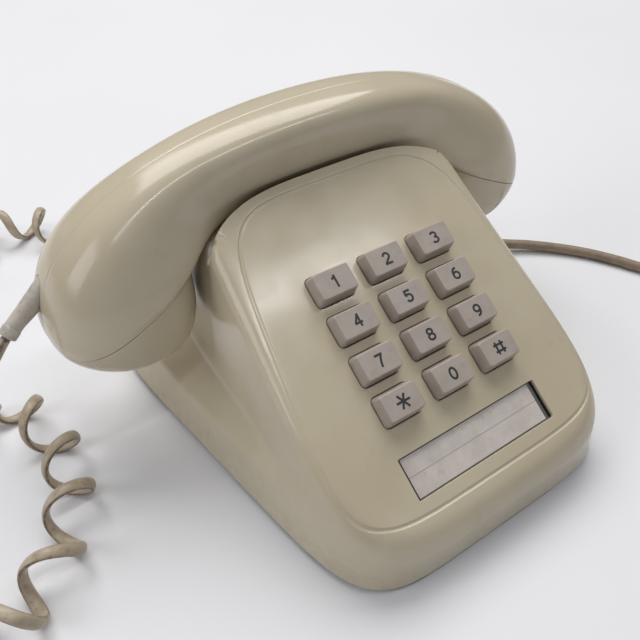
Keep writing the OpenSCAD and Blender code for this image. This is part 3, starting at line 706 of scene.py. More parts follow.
def paper():
    """Aged card, mottled and foxed, with a dotted rule along its middle."""
    s = Surface("card_paper")
    turned = s.scaled(s.scaled(s.place, (1, 1, 1), shift=(0, -KEY_Y, -FACE_Z)), (1, 1, 1), turn=(-FACE_ANGLE, 0, 0))
    parts = s.node("SeparateXYZ", Vector=turned)
    tone = s.blend(s.span(s.noise(5.0, 5.0, 0.6), 0.3, 0.75), linear(222, 212, 206), linear(206, 196, 189))
    tone = s.blend(s.maths("MULTIPLY", s.span(s.noise(2.2, 4.0, 0.7), 0.55, 0.75), 0.4), tone, linear(158, 144, 134))
    tone = s.blend(s.maths("MULTIPLY", s.specks(4.0, 0.22, 0.4), 0.5), tone, linear(120, 92, 70))
    dash = s.maths("LESS_THAN", s.maths("FRACT", s.maths("MULTIPLY", parts.outputs[0], 1.35)), 0.42)
    off = s.maths("ABSOLUTE", s.maths("SUBTRACT", parts.outputs[1], WINDOW_V + 0.3))
    rule = s.maths("MULTIPLY", dash, s.maths("LESS_THAN", off, 0.17))
    tone = s.blend(s.maths("MULTIPLY", rule, 0.9), tone, linear(62, 56, 54))
    s.set(Base_Color=tone, Roughness=0.7)
    s.set(Normal=s.bump(s.noise(0.4, 4.0, 0.7), 0.02))
    return s.material


def clear_plastic():
    """Clear strip: mostly see-through, with gloss at low angles and hairline wear."""
    s = Surface("clear_strip")
    haze = s.maths("MAXIMUM", s.scratches((0.0, 0.6, 0.4), 12.0, 0.25, 0.6),
                   s.span(s.noise(4.0, 4.0), 0.6, 0.8, 0.0, 0.3))
    s.set(Base_Color=linear(232, 230, 224), Roughness=s.span(haze, 0.0, 1.0, 0.12, 0.45), IOR=1.46)
    s.set(Alpha=s.span(haze, 0.0, 1.0, 0.08, 0.22), Normal=s.bump(s.noise(9.0, 2.0), 0.04))
    return s.material


def metal(name, light, dark, rough, grain):
    """Drawn or plated metal with brushed streaks and dull patches."""
    s = Surface(name)
    drawn = s.scaled(s.place, (1 / (grain * 18), 1 / grain, 1 / grain))
    streak = s.noise(1.0, 4.0, 0.6, place=drawn)
    s.set(Base_Color=s.blend(s.span(s.noise(5.0, 4.0, 0.6), 0.3, 0.75), light, dark), Metallic=1.0)
    s.set(Roughness=s.span(streak, 0.3, 0.7, rough - 0.08, rough + 0.14), Normal=s.bump(streak, 0.01))
    return s.material


def laminate():
    """Brown board laminate with its pressed fibre grain."""
    s = Surface("board_laminate")
    weave = s.noise(0.6, 3.0, 0.6, place=s.scaled(s.place, (1, 0.35, 1)))
    s.set(Base_Color=s.blend(weave, linear(150, 112, 62), linear(116, 82, 44)), Roughness=0.55)
    s.set(Normal=s.bump(weave, 0.02))
    return s.material


def windings():
    """Enamelled wire laid turn by turn."""
    s = Surface("copper_winding")
    across = s.node("SeparateXYZ", Vector=s.place).outputs[0]
    turn = s.maths("SINE", s.maths("MULTIPLY", across, 14.0))
    s.set(Base_Color=s.blend(s.noise(3.0), linear(172, 96, 52), linear(120, 62, 34)), Metallic=0.7)
    s.set(Roughness=s.span(turn, -1.0, 1.0, 0.3, 0.5), Normal=s.bump(turn, 0.12))
    return s.material


def table_top():
    """Pale matt table, faintly uneven."""
    s = Surface("table_top")
    tone = s.blend(s.noise(160.0, 3.0), linear(238, 238, 241), linear(231, 232, 236))
    s.set(Base_Color=tone, Roughness=0.6, Specular_IOR_Level=0.25)
    s.set(Normal=s.bump(s.noise(2.0, 3.0), 0.02))
    return s.material


# ---------- keys ----------
KEYS = [["1", "2", "3"], ["4", "5", "6"], ["7", "8", "9"], ["star", "0", "hash"]]
LEGEND_THICK = 0.03
STROKE = 0.76
TALL, WIDE = 1.82, 1.16


def arc(u, v, reach_u, reach_v, start, end, steps=22):
    """Places along an oval arc, its angles in degrees."""
    a = np.radians(np.linspace(start, end, steps))
    return np.column_stack([u + reach_u * np.cos(a), v + reach_v * np.sin(a)])


def ring_stroke(u, v, reach_u, reach_v):
    return arc(u, v, reach_u, reach_v, 0, 360, 41)


def six():
    """Loop and stem of a six; a nine is the same, turned over."""
    stem = bezier([[-WIDE, -0.75], [-WIDE, 0.75], [-0.7, TALL + 0.1], [0.75, TALL - 0.05]], np.linspace(0, 1, 20))
    return [ring_stroke(0, -0.68, WIDE, TALL - 0.68), stem]


def digit_strokes():
    """Centre lines of each generic figure's strokes, in millimetres from its middle."""
    end = TALL + STROKE / 2
    star = [np.array([[-2.6 * math.cos(a), -2.6 * math.sin(a)], [2.6 * math.cos(a), 2.6 * math.sin(a)]])
            for a in np.radians([0, 60, 120])]
    reach, gap = 2.15, 1.1
    return {
        "1": [[[0.15, -end], [0.15, end]], [[-1.0, 0.85], [0.15, TALL - 0.1]]],
        "2": [np.vstack([arc(-0.02, 0.72, WIDE - 0.05, TALL - 0.72, 170, -25), [[-WIDE, -TALL + 0.1]]]),
              [[-WIDE - 0.3, -TALL], [WIDE + 0.3, -TALL]]],
        "3": [arc(-0.1, 0.92, WIDE - 0.08, TALL - 0.92, 155, -90), arc(-0.1, -0.86, WIDE + 0.08, TALL - 0.86, 90, -155)],
        "4": [[[0.5, -end], [0.5, end]], [[-WIDE - 0.35, -0.85], [WIDE + 0.3, -0.85]],
              [[0.5, TALL], [-WIDE - 0.05, -0.85]]],
        "5": [[[-0.95, TALL], [WIDE, TALL]], [[-0.85, end], [-1.0, 0.15]],
              arc(-0.08, -0.62, WIDE + 0.05, TALL - 0.62, 145, -152)],
        "6": six(),
        "7": [[[-WIDE - 0.25, TALL], [WIDE + 0.3, TALL]],
              bezier([[WIDE - 0.05, TALL], [0.5, 0.9], [-0.1, -0.5], [-0.3, -end]], np.linspace(0, 1, 14))],
        "8": [ring_stroke(0, 0.95, 0.98, TALL - 0.95), ring_stroke(0, -0.87, WIDE, TALL - 0.87)],
        "9": [-np.asarray(stroke) for stroke in six()],
        "0": [ring_stroke(0, 0, WIDE, TALL)],
        "star": star,
        "hash": [[[-reach, k * gap], [reach, k * gap]] for k in (-1, 1)]
        + [[[k * gap, -reach], [k * gap, reach]] for k in (-1, 1)],
    }


def figure_mesh(name, strokes, material):
    """A figure of thin raised ribbons, each a hair higher than the one before."""
    points, faces = [], []
    for k, line in enumerate(strokes):
        line = np.asarray(line, float)
        closed = np.allclose(line[0], line[-1])
        line = line[:-1] if closed else line
        if closed:
            along = np.roll(line, -1, axis=0) - np.roll(line, 1, axis=0)
        else:
            along = np.gradient(line, axis=0)
        along /= np.linalg.norm(along, axis=1)[:, None]
        side = np.column_stack([-along[:, 1], along[:, 0]]) * STROKE / 2
        low, high = -LEGEND_THICK, LEGEND_THICK * (1 + 0.12 * k)
        first = len(points)
        for at, offset in zip(line, side):
            for edge, n in ((at + offset, low), (at - offset, low), (at - offset, high), (at + offset, high)):
                points.append((edge[0], edge[1], n))
        count = len(line)
        for i in range(count if closed else count - 1):
            a, b = first + 4 * i, first + 4 * ((i + 1) % count)
            faces += [(a + j, a + (j + 1) % 4, b + (j + 1) % 4, b + j) for j in range(4)]
        if not closed:
            last = first + 4 * (count - 1)
            faces += [tuple(first + j for j in (3, 2, 1, 0)), tuple(last + j for j in (0, 1, 2, 3))]
    made = new_mesh(name, points, faces, material, smooth_shading=False)
    fix_normals(made)
    return made


def face_matrix(u, v, n):
    """Placement of a flat figure on the face."""
    at = on_face(u, v, n) * MM
    turn = Matrix.Rotation(FACE_ANGLE, 4, "X")
    return Matrix.Translation(Vector(at)) @ turn


def key_sections():
    """Sections of a key from its stem up: height over the face, width, length, corner radius."""
    flange = (KEY_W + 1.4, KEY_L + 1.4, 1.5)
    body = (KEY_W, KEY_L, 1.4)
    slope = [(-8.6, 5.0, 5.0, 2.5), (-4.0, 5.0, 5.0, 2.5), (-4.0, *flange), (-2.9, *flange), (-2.9, *body),
             (0.7, *body)]
    head, steps, r, shoulder = (KEY_W - 0.85, KEY_L - 1.65), 5, 0.34, 0.95
    for i in range(steps):
        share = i / steps
        slope.append((mix(shoulder, KEY_RISE - r, share), mix(KEY_W - 0.06, head[0], share),
                      mix(KEY_L - 0.06, head[1], share), mix(1.4, 0.95, share)))
    for i in range(7):
        a = math.radians(15 * i)
        slope.append((KEY_RISE - r + r * math.sin(a), head[0] - 2 * r * (1 - math.cos(a)),
                      head[1] - 2 * r * (1 - math.cos(a)), 0.95 - r * 0.6 * (1 - math.cos(a))))
    return slope


def key_cap(label, column, row, plastic, ink):
    u, v = (column - 1) * PITCH_X, (1.5 - row) * PITCH_V
    rings = []
    for n, w, l, r in key_sections():
        loop = rounded_rect(w, l, min(r, l / 2 - 0.01), 5)
        rings.append(on_face(u + loop[:, 0], v + loop[:, 1], n))
    cap = loft("cap_" + label, rings, plastic)
    crease(cap, 50)
    figure = figure_mesh("figure", digit_strokes()[label], ink)
    figure.data.transform(face_matrix(u, v, KEY_RISE))
    cap = join("key_cap_" + label, [cap, figure])
    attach(cap, f"key_{label}_body")
    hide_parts("key_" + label)
    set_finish(cap, "key_plastic")
    return cap


# ---------- cords ----------
STRAND_WIDE, STRAND_THICK, STRAND_ROUND = 2.1, 1.2, 1.6
COIL_R, COIL_TURNS, COIL_LOW = 7.0, 18, 3.2
COIL_Z = COIL_R + 1.4
COIL_PATH = [[-122, 66], [-112, 45], [-110, 22], [-116, 2], [-131, -17], [-149, -24],
             [-165, -12], [-171, 12], [-169, 42], [-161, 74], [-148, 106], [-131, 136], [-110, 162],
             [-88, 177], [-70, 170], [-62, 150], [-56, 128], [-50, 108]]
BOOT_PATH = [[-91.5, 43, 68.5], [-95, 42.3, 66.4], [-98.6, 41.6, 63.7], [-102.8, 40.4, 61], [-107.2, 39.2, 58.6],
             [-111.5, 38, 55.6]]
BOOT_R = 3.3
LINE_PATH = [[38, 77, CORD_Z], [38, 84, CORD_Z], [39.5, 91.5, 7.2], [48, 96, 3], [66, 84, 2.6],
             [84, 62, 3], [97, 44, 4], [110, 31, 4], [121, 23, 3.4], [132, 13, 2.8], [141, 2, 2.6],
             [148, -10, 2.6], [153, -20, 2.5], [161, -29, 2.5], [173, -34, 2.5]]
LINE_R = 2.3


def coil_stations(u):
    """Middle, outward direction and fullness of the coiled strand at shares u of its run."""
    c = track(COIL_PATH, u)
    along = track(COIL_PATH, np.minimum(u + 0.004, 1)) - track(COIL_PATH, np.maximum(u - 0.004, 0))
    along /= np.linalg.norm(along, axis=1)[:, None]
    a = 2 * math.pi * COIL_TURNS * u + math.pi / 2
    out = np.column_stack([-along[:, 1] * np.cos(a), along[:, 0] * np.cos(a), np.sin(a)])
    full = smooth(u / 0.03) * smooth((1 - u) / 0.03)
    middle = np.column_stack([c, mix(COIL_LOW, COIL_Z, full)]) + COIL_R * full[:, None] * out
    return middle, out, full


def strand_attribute(obj, count, low, high):
    """Marks how near each point of a swept strand is to the edges of its flat section."""
    share = np.abs(np.cos(np.arange(len(obj.data.vertices)) % count * 2 * math.pi / count))
    value = smooth((share - low) / (high - low)).astype(np.float32)
    obj.data.attributes.new("edge", "FLOAT", "POINT").data.foreach_set("value", value)


def handset_cord(material):
    """One flat strand: down from the boot, round the coil, up into the base."""
    u = np.linspace(0, 1, COIL_TURNS * 64 + 1)
    coil, out, full = coil_stations(u)
    t = np.linspace(0, 1, 61)[:-1]
    drop = bezier([[-111.9, 37.9, 55.2], [-122, 36, 46], [-134, 56, 6], [-122, 66, COIL_LOW]], t)
    drop_out = mix(np.array([-0.6, 0.4, 0.7]), np.array([0, 0, 1.0]), t[:, None])
    t = np.linspace(0, 1, 41)[1:]
    tail = bezier([[-50, 108, COIL_LOW], [-46, 96, COIL_LOW], [-44, 92, CORD_Z], [-44, 79, CORD_Z]], t)
    tail_out = np.broadcast_to([0, 0, 1.0], tail.shape)
    path = np.vstack([drop, coil, tail])
    facing = np.vstack([drop_out, out, tail_out])
    full = np.concatenate([np.zeros(len(drop)), full, np.zeros(len(tail))])
    count = 22
    rings = sweep(path, mix(STRAND_ROUND, STRAND_THICK, full), mix(STRAND_ROUND, STRAND_WIDE, full), count, facing)
    cord = loft("coiled_cord", rings, material)
    strand_attribute(cord, count, 0.9, 1.0)
    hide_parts("handset_cord")
    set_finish(cord, "coil_cord_jacket")
    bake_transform(cord)
    return cord


def line_cord(material):
    path = track(LINE_PATH, np.linspace(0, 1, 340))
    cord = loft("wall_cord", sweep(path, LINE_R, LINE_R, 22, [0, 0, 1.0]), material)
    strand_attribute(cord, 22, 2.0, 3.0)
    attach(cord, "base")
    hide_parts("line_cord")
    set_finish(cord, "line_cord_jacket")
    return cord


def cord_boot(material):
    """Tapering strain relief with a rolled lip at each end and a low collar near its mouth."""
    u = np.linspace(0, 1, 121)
    path = track(BOOT_PATH, u)
    taper = 1 - 0.16 * smooth((u * 12 - 5) / 6)
    collar = 0.09 * smooth((u - 0.86) / 0.02)
    lip = 1 + collar - 0.16 * smooth((u - 0.975) / 0.025) - 0.1 * smooth((0.012 - u) / 0.012)
    r = BOOT_R * taper * lip
    rings = sweep(path, r, r, 40, [0, 1.0, 0])
    mouth = path[-1] + (rings[-1] - path[-1]) * 0.55
    inside = mouth - (path[-1] - path[-2]) * 3
    boot = loft("boot", list(rings) + [mouth, inside], material)
    strand_attribute(boot, 40, 2.0, 3.0)
    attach(boot, "handset")
    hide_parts("cord_boot")
    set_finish(boot, "boot_rubber")
    return boot


def lathe(name, origin, axis, profile, material, count=56):
    """Solid of revolution: profile gives places along the axis and radii there."""
    axis = np.asarray(axis, float)
    ref = np.array([1.0, 0, 0])
    other = np.cross(axis, ref)
    t = np.arange(count) * 2 * math.pi / count
    spoke = np.cos(t)[:, None] * ref + np.sin(t)[:, None] * other
    rings = [np.asarray(origin, float) + axis * along + spoke * max(r, 0.01) for along, r in profile]
    return loft(name, rings, material)


def round_end(along, r, fillet, steps=5):
    """Profile points that round a cylinder's end of radius r, reached going along the axis."""
    return [(along - fillet + fillet * math.sin(a), r - fillet + fillet * math.cos(a))
            for a in np.linspace(0, math.pi / 2, steps)]


def grommet(name, node, cord_r, material):
    """Ribbed strain relief standing out of the rear wall."""
    low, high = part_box(node)
    x = (low.x + high.x) / 2 / MM
    y0, y1 = low.y / MM, high.y / MM
    wall_y = HALF_DEPTH
    body = [(0, 0.01), (0, 4.5), (0.3, 4.8), (1.7, 4.8), (2.0, 4.5), (2.0, 4.1), (wall_y - 0.9 - y0, 4.1)]
    body += [(wall_y - 0.4 - y0, 4.1)] + round_end(y1 - y0, 4.1, 0.7)
    body += [(y1 - y0, cord_r + 0.45), (y1 - y0 - 0.3, cord_r + 0.15), (y1 - y0 - 3.5, cord_r + 0.1),
             (y1 - y0 - 3.5, 0.01)]
    made = lathe(name, [x, y0, CORD_Z], [0, 1, 0], body, material)
    crease(made, 40)
    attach(made, "base")
    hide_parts(node)
    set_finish(made, "grommet_rubber")
    return made


def line_plug(body_material, contact_material):
    """Modular plug: bevelled body with a strain-relief neck, latch tongue and contact blades."""
    low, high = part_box("line_plug")
    centre = (low + high) / 2 / MM
    turn = math.radians(-16)
    long, wide, tall = 12.5, 9.6, 6.6

    def section(x, w, h, r, z):
        loop = rounded_rect(w, h, r, 4)
        return np.column_stack([np.full(len(loop), x), loop[:, 0], z + loop[:, 1]])

    z = tall / 2 + 0.1
    rings = [section(-0.3, 5.6, 4.4, 2.0, z), section(0.0, 6.4, 5.0, 1.6, z), section(0.9, 7.0, 5.6, 1.4, z),
             section(1.5, wide - 0.5, tall - 0.5, 0.7, z), section(1.9, wide, tall, 0.5, z),
             section(8.0, wide, tall, 0.5, z), section(8.3, wide - 0.5, tall - 0.4, 0.5, z - 0.2),
             section(long - 0.3, wide - 0.5, tall - 0.4, 0.5, z - 0.2),
             section(long, wide - 1.1, tall - 1.0, 0.5, z - 0.2)]
    body = loft("plug_body", rings, body_material)
    latch_rings = []
    for x, half_h, half_w, lift in [(9.8, 0.35, 3.0, 0.0), (9.5, 0.45, 3.1, 0.0), (6.0, 0.4, 3.1, 0.35),
                                    (2.6, 0.4, 2.4, 0.45), (2.2, 0.3, 2.2, 0.4)]:
        latch_rings.append(section(x, half_w * 2, half_h * 2, 0.25, tall - 0.1 + lift))
    latch = loft("plug_latch", latch_rings, body_material)
    blades = []
    for k in range(4):
        y = (k - 1.5) * 1.05
        blade = [section(x, 0.35, h, 0.1, tall - 1.0) + [0, y, 0] for x, h in
                 [(long - 3.4, 1.2), (long - 3.3, 1.5), (long - 0.6, 1.5), (long - 0.5, 1.2)]]
        blades.append(loft(f"blade_{k}", blade, contact_material))
    plug = join("wall_plug", [body, latch] + blades)
    crease(plug, 40)
    spot = Matrix.Translation(Vector((centre.x * MM, centre.y * MM, 0))) @ Matrix.Rotation(turn, 4, "Z")
    plug.data.transform(spot @ Matrix.Translation((-long / 2 * MM, 0, 0)))
    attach(plug, "base")
    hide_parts("line_plug")
    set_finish(plug, "plug_plastic")
    return plug


# ---------- handset ----------
HAND_HALF, HAND_TOP, HAND_NECK = 100.3, 106.6, 51.5
GRIP_DEPTH, BULB_DEPTH = 26.0, 50.0
SHELL_WALL = 2.3
HAND_COUNT = 120


def joint_tilt(s):
    """The caps' joint is tilted: later along the outer profile and earlier along the inner one."""
    return 0.2 * smooth((s - 0.5) / 0.5) * (1 - smooth((s - 1) / 0.9))


def hand_outer(s):
    s = np.asarray(s, float)
    s = s + joint_tilt(s)
    upper = bezier([[0, HAND_TOP], [72.9, HAND_TOP], [HAND_HALF, 78.6], [HAND_HALF, 53.1]], np.minimum(s, 1))
    lower = bezier([[HAND_HALF, 53.1], [HAND_HALF, 44], [HAND_HALF - 7.5, 40.2], [HAND_HALF - 16, 39.6]],
                   np.maximum(s - 1, 0))
    return np.where(s[..., None] <= 1, upper, lower)


def hand_inner(s):
    s = np.asarray(s, float)
    s = s - 0.6 * joint_tilt(s)
    upper = bezier([[0, 78.2], [24.7, 78.2], [HAND_NECK, 78.6], [HAND_NECK, 69.6]], np.minimum(s, 1))
    lower = bezier([[HAND_NECK, 69.6], [HAND_NECK - 1, 57], [48.5, 40.2], [63, 39.6]], np.maximum(s - 1, 0))
    return np.where(s[..., None] <= 1, upper, lower)


def hand_depth(s):
    s = np.asarray(s, float)
    upper = mix(GRIP_DEPTH, BULB_DEPTH, smooth((s - 0.25) / 0.65)) / 2
    return np.where(s <= 1, upper, BULB_DEPTH / 2 * (1 - 0.26 * np.maximum(s - 1, 0) ** 2.6))


PARTING = [(0.0, 0.13), (0.5, 0.1), (1.1, 0.0)]


def section_angles(count, parting):
    """Angles round a section, with extra ones beside the parting line where it has one."""
    t = np.arange(count) * 360 / count
    groove = np.zeros(count)
    if parting:
        extra = [(sign * a, d) for a, d in PARTING for sign in (1, -1) if a > 0]
        t = np.concatenate([t, [a % 360 for a, _ in extra]])
        groove = np.concatenate([groove, [d for _, d in extra]])
        groove[0] = PARTING[0][1]
        order = np.argsort(t)
        t, groove = t[order], groove[order]
    return np.radians(t), groove


def hand_ring(s, inset, count, parting=False):
    a, g = abs(s), -1 if s < 0 else 1
    o, i = hand_outer(a), hand_inner(a)
    c, v = (o + i) / 2, (o - i) / 2
    t, groove = section_angles(count, parting)
    k = 1 - (inset + groove) / np.linalg.norm(v)
    b = hand_depth(a) - inset
    e = mix(3, 2.6, smooth(a))
    x, y = np.cos(t), np.sin(t)
    r = (np.abs(x) ** e + np.abs(y) ** e) ** (-1 / e)
    w = 1 + 0.24 * (1 - smooth(a / 0.8)) * x * r
    return np.column_stack([g * (c[0] + v[0] * k * x * r), HAND_Y + b * w * y * r, c[1] + v[1] * k * x * r])


def lip(s, limit, radius=0.28):
    """Inset that rounds the edge of a shell towards its end at limit."""
    span = 0.012
    near = np.clip(1 - abs(limit - s) / span, 0, 1)
    return radius * (1 - math.sqrt(1 - near * near))


def cut(obj, cutters):
    """Takes the cutters out of obj's mesh and deletes them."""
    for cutter in cutters:
        mod = obj.modifiers.new("cut", "BOOLEAN")
        mod.object = cutter
        mod.operation = "DIFFERENCE"
        mod.solver = "EXACT"
        bpy.context.view_layer.update()
        made = obj.evaluated_get(bpy.context.evaluated_depsgraph_get())
        mesh = bpy.data.meshes.new_from_object(made)
        obj.modifiers.remove(mod)
        old = obj.data
        obj.data = mesh
        bpy.data.meshes.remove(old)
        bpy.data.objects.remove(cutter)
    obj.data.materials.clear()


def handset_shell(material):
    """The handle and the upper halves of both ends, hollow, open below at each end."""
    edge = [1 - 0.012 * k / 4 for k in range(4)]
    s_half = list(np.linspace(0, 0.985, 78)) + edge[::-1]
    s_all = [-s for s in s_half[:0:-1]] + s_half
    rings = [hand_ring(s, lip(abs(s), 1.0), HAND_COUNT, parting=True) for s in s_all]
    shell = loft("handset_body", rings, material)
    hollow = loft("hollow", [hand_ring(s, SHELL_WALL, 56) for s in np.linspace(-1.04, 1.04, 60)], material)
    bore = BOOT_R + 0.25
    socket = loft("socket", sweep(BOOT_PATH[:4], bore, bore, 40, [0, 1.0, 0]), material)
    cut(shell, [hollow, socket])
    shell.data.materials.append(material)
    crease(shell, 40)
    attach(shell, "handset")
    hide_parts("handset_shell")
    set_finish(shell, "ivory_plastic")
    return shell


def end_cap(name, node, side, material):
    """Screw-on cap of one end, with its ring of sound holes."""
    start = 1.008
    s_all = [start + 0.012 * k / 4 for k in range(4)] + list(np.linspace(1.03, 2.0, 44))
    rings = [hand_ring(side * s, lip(s, start), HAND_COUNT) for s in s_all]
    cap = loft(name, rings, material)
    hollow = loft("hollow", [hand_ring(side * s, SHELL_WALL, 56) for s in np.linspace(0.97, 1.86, 26)], material)
    holes = []
    for reach, number in ((0, 1), (5.0, 6), (10.0, 12)):
        for k in range(number):
            a = 2 * math.pi * k / number
            at = [side * 73.7 + reach * math.cos(a), HAND_Y + reach * math.sin(a), 36]
            holes.append(lathe("hole", at, [0, 0, 1], [(0, 0.8), (8, 0.8)], material, 14))
    cut(cap, [hollow, join("holes", holes)])
    cap.data.materials.append(material)
    crease(cap, 40)
    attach(cap, "handset")
    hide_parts(node)
    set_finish(cap, "ivory_plastic")
    return cap


# ---------- base ----------
def upper_housing(material):
    skin = housing_mesh()
    housing = new_mesh("housing", skin.points, skin.faces, material)
    fix_normals(housing)
    bores = [lathe("bore", [side * PLUNGER_X, HAND_Y, 66], [0, 0, 1], [(0, 4.2), (20, 4.2)], material)
             for side in (-1, 1)]
    cut(housing, bores)
    housing.data.materials.append(material)
    crease(housing, 48)
    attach(housing, "base")
    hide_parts("upper_housing")
    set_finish(housing, "ivory_plastic")
    return housing


def plunger(name, node, body, material):
    """Cradle button: a domed post on a flange."""
    low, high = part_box(node)
    x, z0, z1 = (low.x + high.x) / 2 / MM, low.z / MM, high.z / MM
    profile = [(0, 0.01), (0, 5.7), (0.3, 6.0), (1.4, 6.0), (1.7, 5.7), (1.7, 3.9)]
    profile += round_end(z1 - z0 - 0.25, 3.9, 0.9, 6) + [(z1 - z0 - 0.05, 1.5), (z1 - z0, 0.01)]
    made = lathe(name, [x, HAND_Y, z0], [0, 0, 1], profile, material)
    crease(made, 45)
    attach(made, body)
    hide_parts(node)
    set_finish(made, "plunger_plastic")
    return made


def feet(material):
    """Four turned rubber feet and a middle pad, with dished undersides."""
    spots = [(-44, -44), (44, -44), (-56, 46), (56, 46), (0, 0)]
    profile = [(0.35, 0.01), (0.3, 3.6), (0.0, 4.4), (0.0, 5.9), (0.12, 6.3), (0.4, 6.5), (2.5, 7.1), (2.8, 7.1),
               (2.95, 6.9), (2.95, 2.02), (6.9, 2.02), (6.9, 0.01)]
    made = [lathe(f"foot_{k}", [x, y, 0], [0, 0, 1], profile, material) for k, (x, y) in enumerate(spots)]
    whole = join("feet", made)
    crease(whole, 40)
    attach(whole, "base")
    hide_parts("rubber_feet")
    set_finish(whole, "foot_rubber")
    return whole


# ---------- CAD nodes that are shown as they are ----------
def soften(node, width, material):
    """Gives a CAD node its material and small rounded edges."""
    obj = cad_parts[node]
    obj.data.materials.clear()
    obj.data.materials.append(material)
    mod = obj.modifiers.new("edge_round", "BEVEL")
    mod.width = width * MM
    mod.segments = 2
    mod.limit_method = "ANGLE"
    mod.angle_limit = math.radians(50)
    mod.harden_normals = True
    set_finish(obj, obj.get("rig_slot", ""))


def dress_cad_nodes():
    """Materials and rounded edges for the nodes inside, under and behind the visible shells."""
    steel = metal("plated_steel", linear(190, 192, 194), linear(150, 152, 156), 0.32, 0.5)
    bell = metal("bell_metal", linear(196, 178, 128), linear(160, 140, 92), 0.22, 0.4)
    brass = metal("contact_brass", linear(206, 170, 96), linear(168, 132, 66), 0.3, 0.3)
    can = metal("capsule_metal", linear(176, 178, 182), linear(132, 134, 140), 0.4, 0.4)
    black = moulded_plastic("black_plastic", linear(34, 33, 32), linear(26, 25, 25), linear(70, 62, 52), 0.42)
    under = moulded_plastic("base_plastic", linear(52, 50, 47), linear(42, 40, 38), linear(84, 74, 60), 0.5)
    parts = soft_jacket("component_cases", linear(58, 76, 104), linear(40, 54, 80), linear(90, 80, 60),
                        0.4, 1.0, 0.01)
    ribbon = soft_jacket("ribbon_cable", linear(158, 158, 162), linear(138, 138, 142), linear(96, 90, 80),
                         0.5, 0.8, 0.03)
    wire = soft_jacket("wire_insulation", linear(150, 52, 40), linear(122, 38, 30), linear(70, 40, 30),
                       0.45, 1.0, 0.01)
    dressed = {
        under: ["base_plate"],
        black: ["card_tray", "keypad_switches", "terminal_block", "hook_lever"],
        steel: ["housing_screws", "keypad_screws", "board_screws", "gong_screws", "ringer_frame", "ringer_core",
                "ringer_clapper", "hook_switch_bracket", "hook_lever_pin"],
        bell: ["bell_gong_left", "bell_gong_right"],
        brass: ["hook_switch_blades", "capsule_springs"],
        can: ["ear_capsule", "mouth_capsule"],
        parts: ["board_components"],
        ribbon: ["keypad_cable"],
        wire: ["handset_wires"],
        laminate(): ["keypad_board", "main_board"],
        windings(): ["ringer_coil", "speech_transformer"],
        paper(): ["number_card"],
        clear_plastic(): ["card_window"],
    }
    slots = {"card_paper": "card", "clear_strip": "clear_plastic"}
    for material, nodes in dressed.items():
        plain_name = material.name.split(".")[0]
        for node in nodes:
            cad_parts[node]["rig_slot"] = slots.get(plain_name, plain_name)
            soften(node, 0.12 if node not in ("number_card", "card_window") else 0.04, material)


# ---------- stage ----------
LOOK_AT = Vector((-14.3, 5.3, 36.9)) * MM
LOOK_AZIMUTH, LOOK_ELEVATION, LOOK_DISTANCE = -34.94, 41.99, 260 * MM
LENS = 40.5


def camera():
    """Camera at the photograph's viewing angle."""
    a, e = math.radians(LOOK_AZIMUTH), math.radians(LOOK_ELEVATION)
    back = Vector((math.sin(a) * math.cos(e), -math.cos(a) * math.cos(e), math.sin(e)))
    data = bpy.data.cameras.new("camera")
    data.lens = LENS
    data.sensor_width = 36
    data.clip_start = 0.01
    made = bpy.data.objects.new("camera", data)
    made.location = LOOK_AT + back * LOOK_DISTANCE
    made.rotation_mode = "QUATERNION"
    made.rotation_quaternion = (-back).to_track_quat("-Z", "Y")
    bpy.context.scene.collection.objects.link(made)
    bpy.context.scene.camera = made


def area_light(name, at, target, size, power, colour):
    data = bpy.data.lights.new(name, "AREA")
    data.shape = "RECTANGLE"
    data.size, data.size_y = size
    data.energy = power
    data.color = colour
    made = bpy.data.objects.new(name, data)
    made.location = at
    made.rotation_mode = "QUATERNION"
    made.rotation_quaternion = (Vector(target) - Vector(at)).to_track_quat("-Z", "Y")
    bpy.context.scene.collection.objects.link(made)


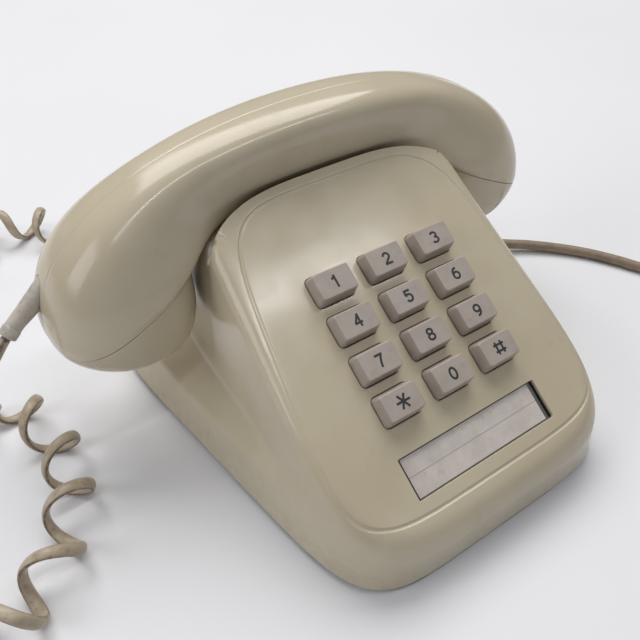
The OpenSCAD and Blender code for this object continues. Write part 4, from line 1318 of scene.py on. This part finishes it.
def studio():
    """Pale table, a broad soft light overhead and behind, a window strip, and a pale surround."""
    half = 6.0
    floor = new_mesh("table", [(-half / MM, -half / MM, 0), (half / MM, -half / MM, 0), (half / MM, half / MM, 0),
                               (-half / MM, half / MM, 0)], [(0, 1, 2, 3)], table_top(), False)
    area_light("overhead", (0.3, 0.7, 1.3), (0, 0, 0.03), (1.5, 1.0), 18.5, (1.0, 0.985, 0.965))
    area_light("strip", (0.0, -0.47, 1.35), (0, 0, 0.05), (1.8, 0.08), 5.0, (0.98, 0.99, 1.0))
    area_light("side", (-1.3, 0.25, 0.75), (0, 0, 0.03), (0.8, 0.8), 5.0, (0.99, 0.99, 1.0))
    world = bpy.data.worlds.new("surround")
    world.use_nodes = True
    shade = world.node_tree.nodes["Background"]
    shade.inputs["Color"].default_value = (0.92, 0.94, 1.0, 1.0)
    shade.inputs["Strength"].default_value = 0.13
    bpy.context.scene.world = world
    bpy.context.scene.view_settings.view_transform = "Standard"


def build():
    ivory = moulded_plastic("ivory_plastic", linear(204, 193, 169), linear(197, 185, 160), linear(120, 102, 74))
    taupe, ink = key_plastic(), printed_ink()
    rubber = soft_jacket("black_rubber", linear(46, 45, 44), linear(34, 33, 33), linear(84, 76, 64), 0.6, 0.5, 0.02)
    upper_housing(ivory)
    handset_shell(ivory)
    end_cap("ear_end", "ear_cap", 1, ivory)
    end_cap("mouth_end", "mouth_cap", -1, ivory)
    for row, labels in enumerate(KEYS):
        for column, label in enumerate(labels):
            key_cap(label, column, row, taupe, ink)
    cream = moulded_plastic("plunger_cream", linear(216, 210, 194), linear(204, 196, 178), linear(130, 116, 90), 0.36)
    plunger("plunger_l", "cradle_plunger_left", "plunger_left", cream)
    plunger("plunger_r", "cradle_plunger_right", "plunger_right", cream)
    handset_cord(soft_jacket("coil_vinyl", linear(190, 176, 156), linear(170, 155, 133), linear(96, 74, 50),
                             0.36, 1.4, 0.03))
    line_cord(soft_jacket("line_vinyl", linear(150, 132, 112), linear(130, 112, 92), linear(78, 60, 42),
                          0.4, 1.6, 0.03))
    cord_boot(soft_jacket("boot_grey", linear(202, 193, 182), linear(178, 169, 157), linear(84, 70, 56),
                          0.45, 0.7, 0.09, 0.5))
    grommet("line_relief", "line_cord_grommet", LINE_R, rubber)
    grommet("handset_relief", "handset_cord_grommet", STRAND_ROUND, rubber)
    plug_body = moulded_plastic("plug_cream", linear(214, 208, 192), linear(200, 192, 172), linear(140, 124, 96), 0.3)
    gold = metal("plug_contacts", linear(214, 180, 104), linear(186, 150, 78), 0.25, 0.3)
    line_plug(plug_body, gold)
    feet(rubber)
    dress_cad_nodes()


build()
studio()
camera()
bpy.context.view_layer.update()
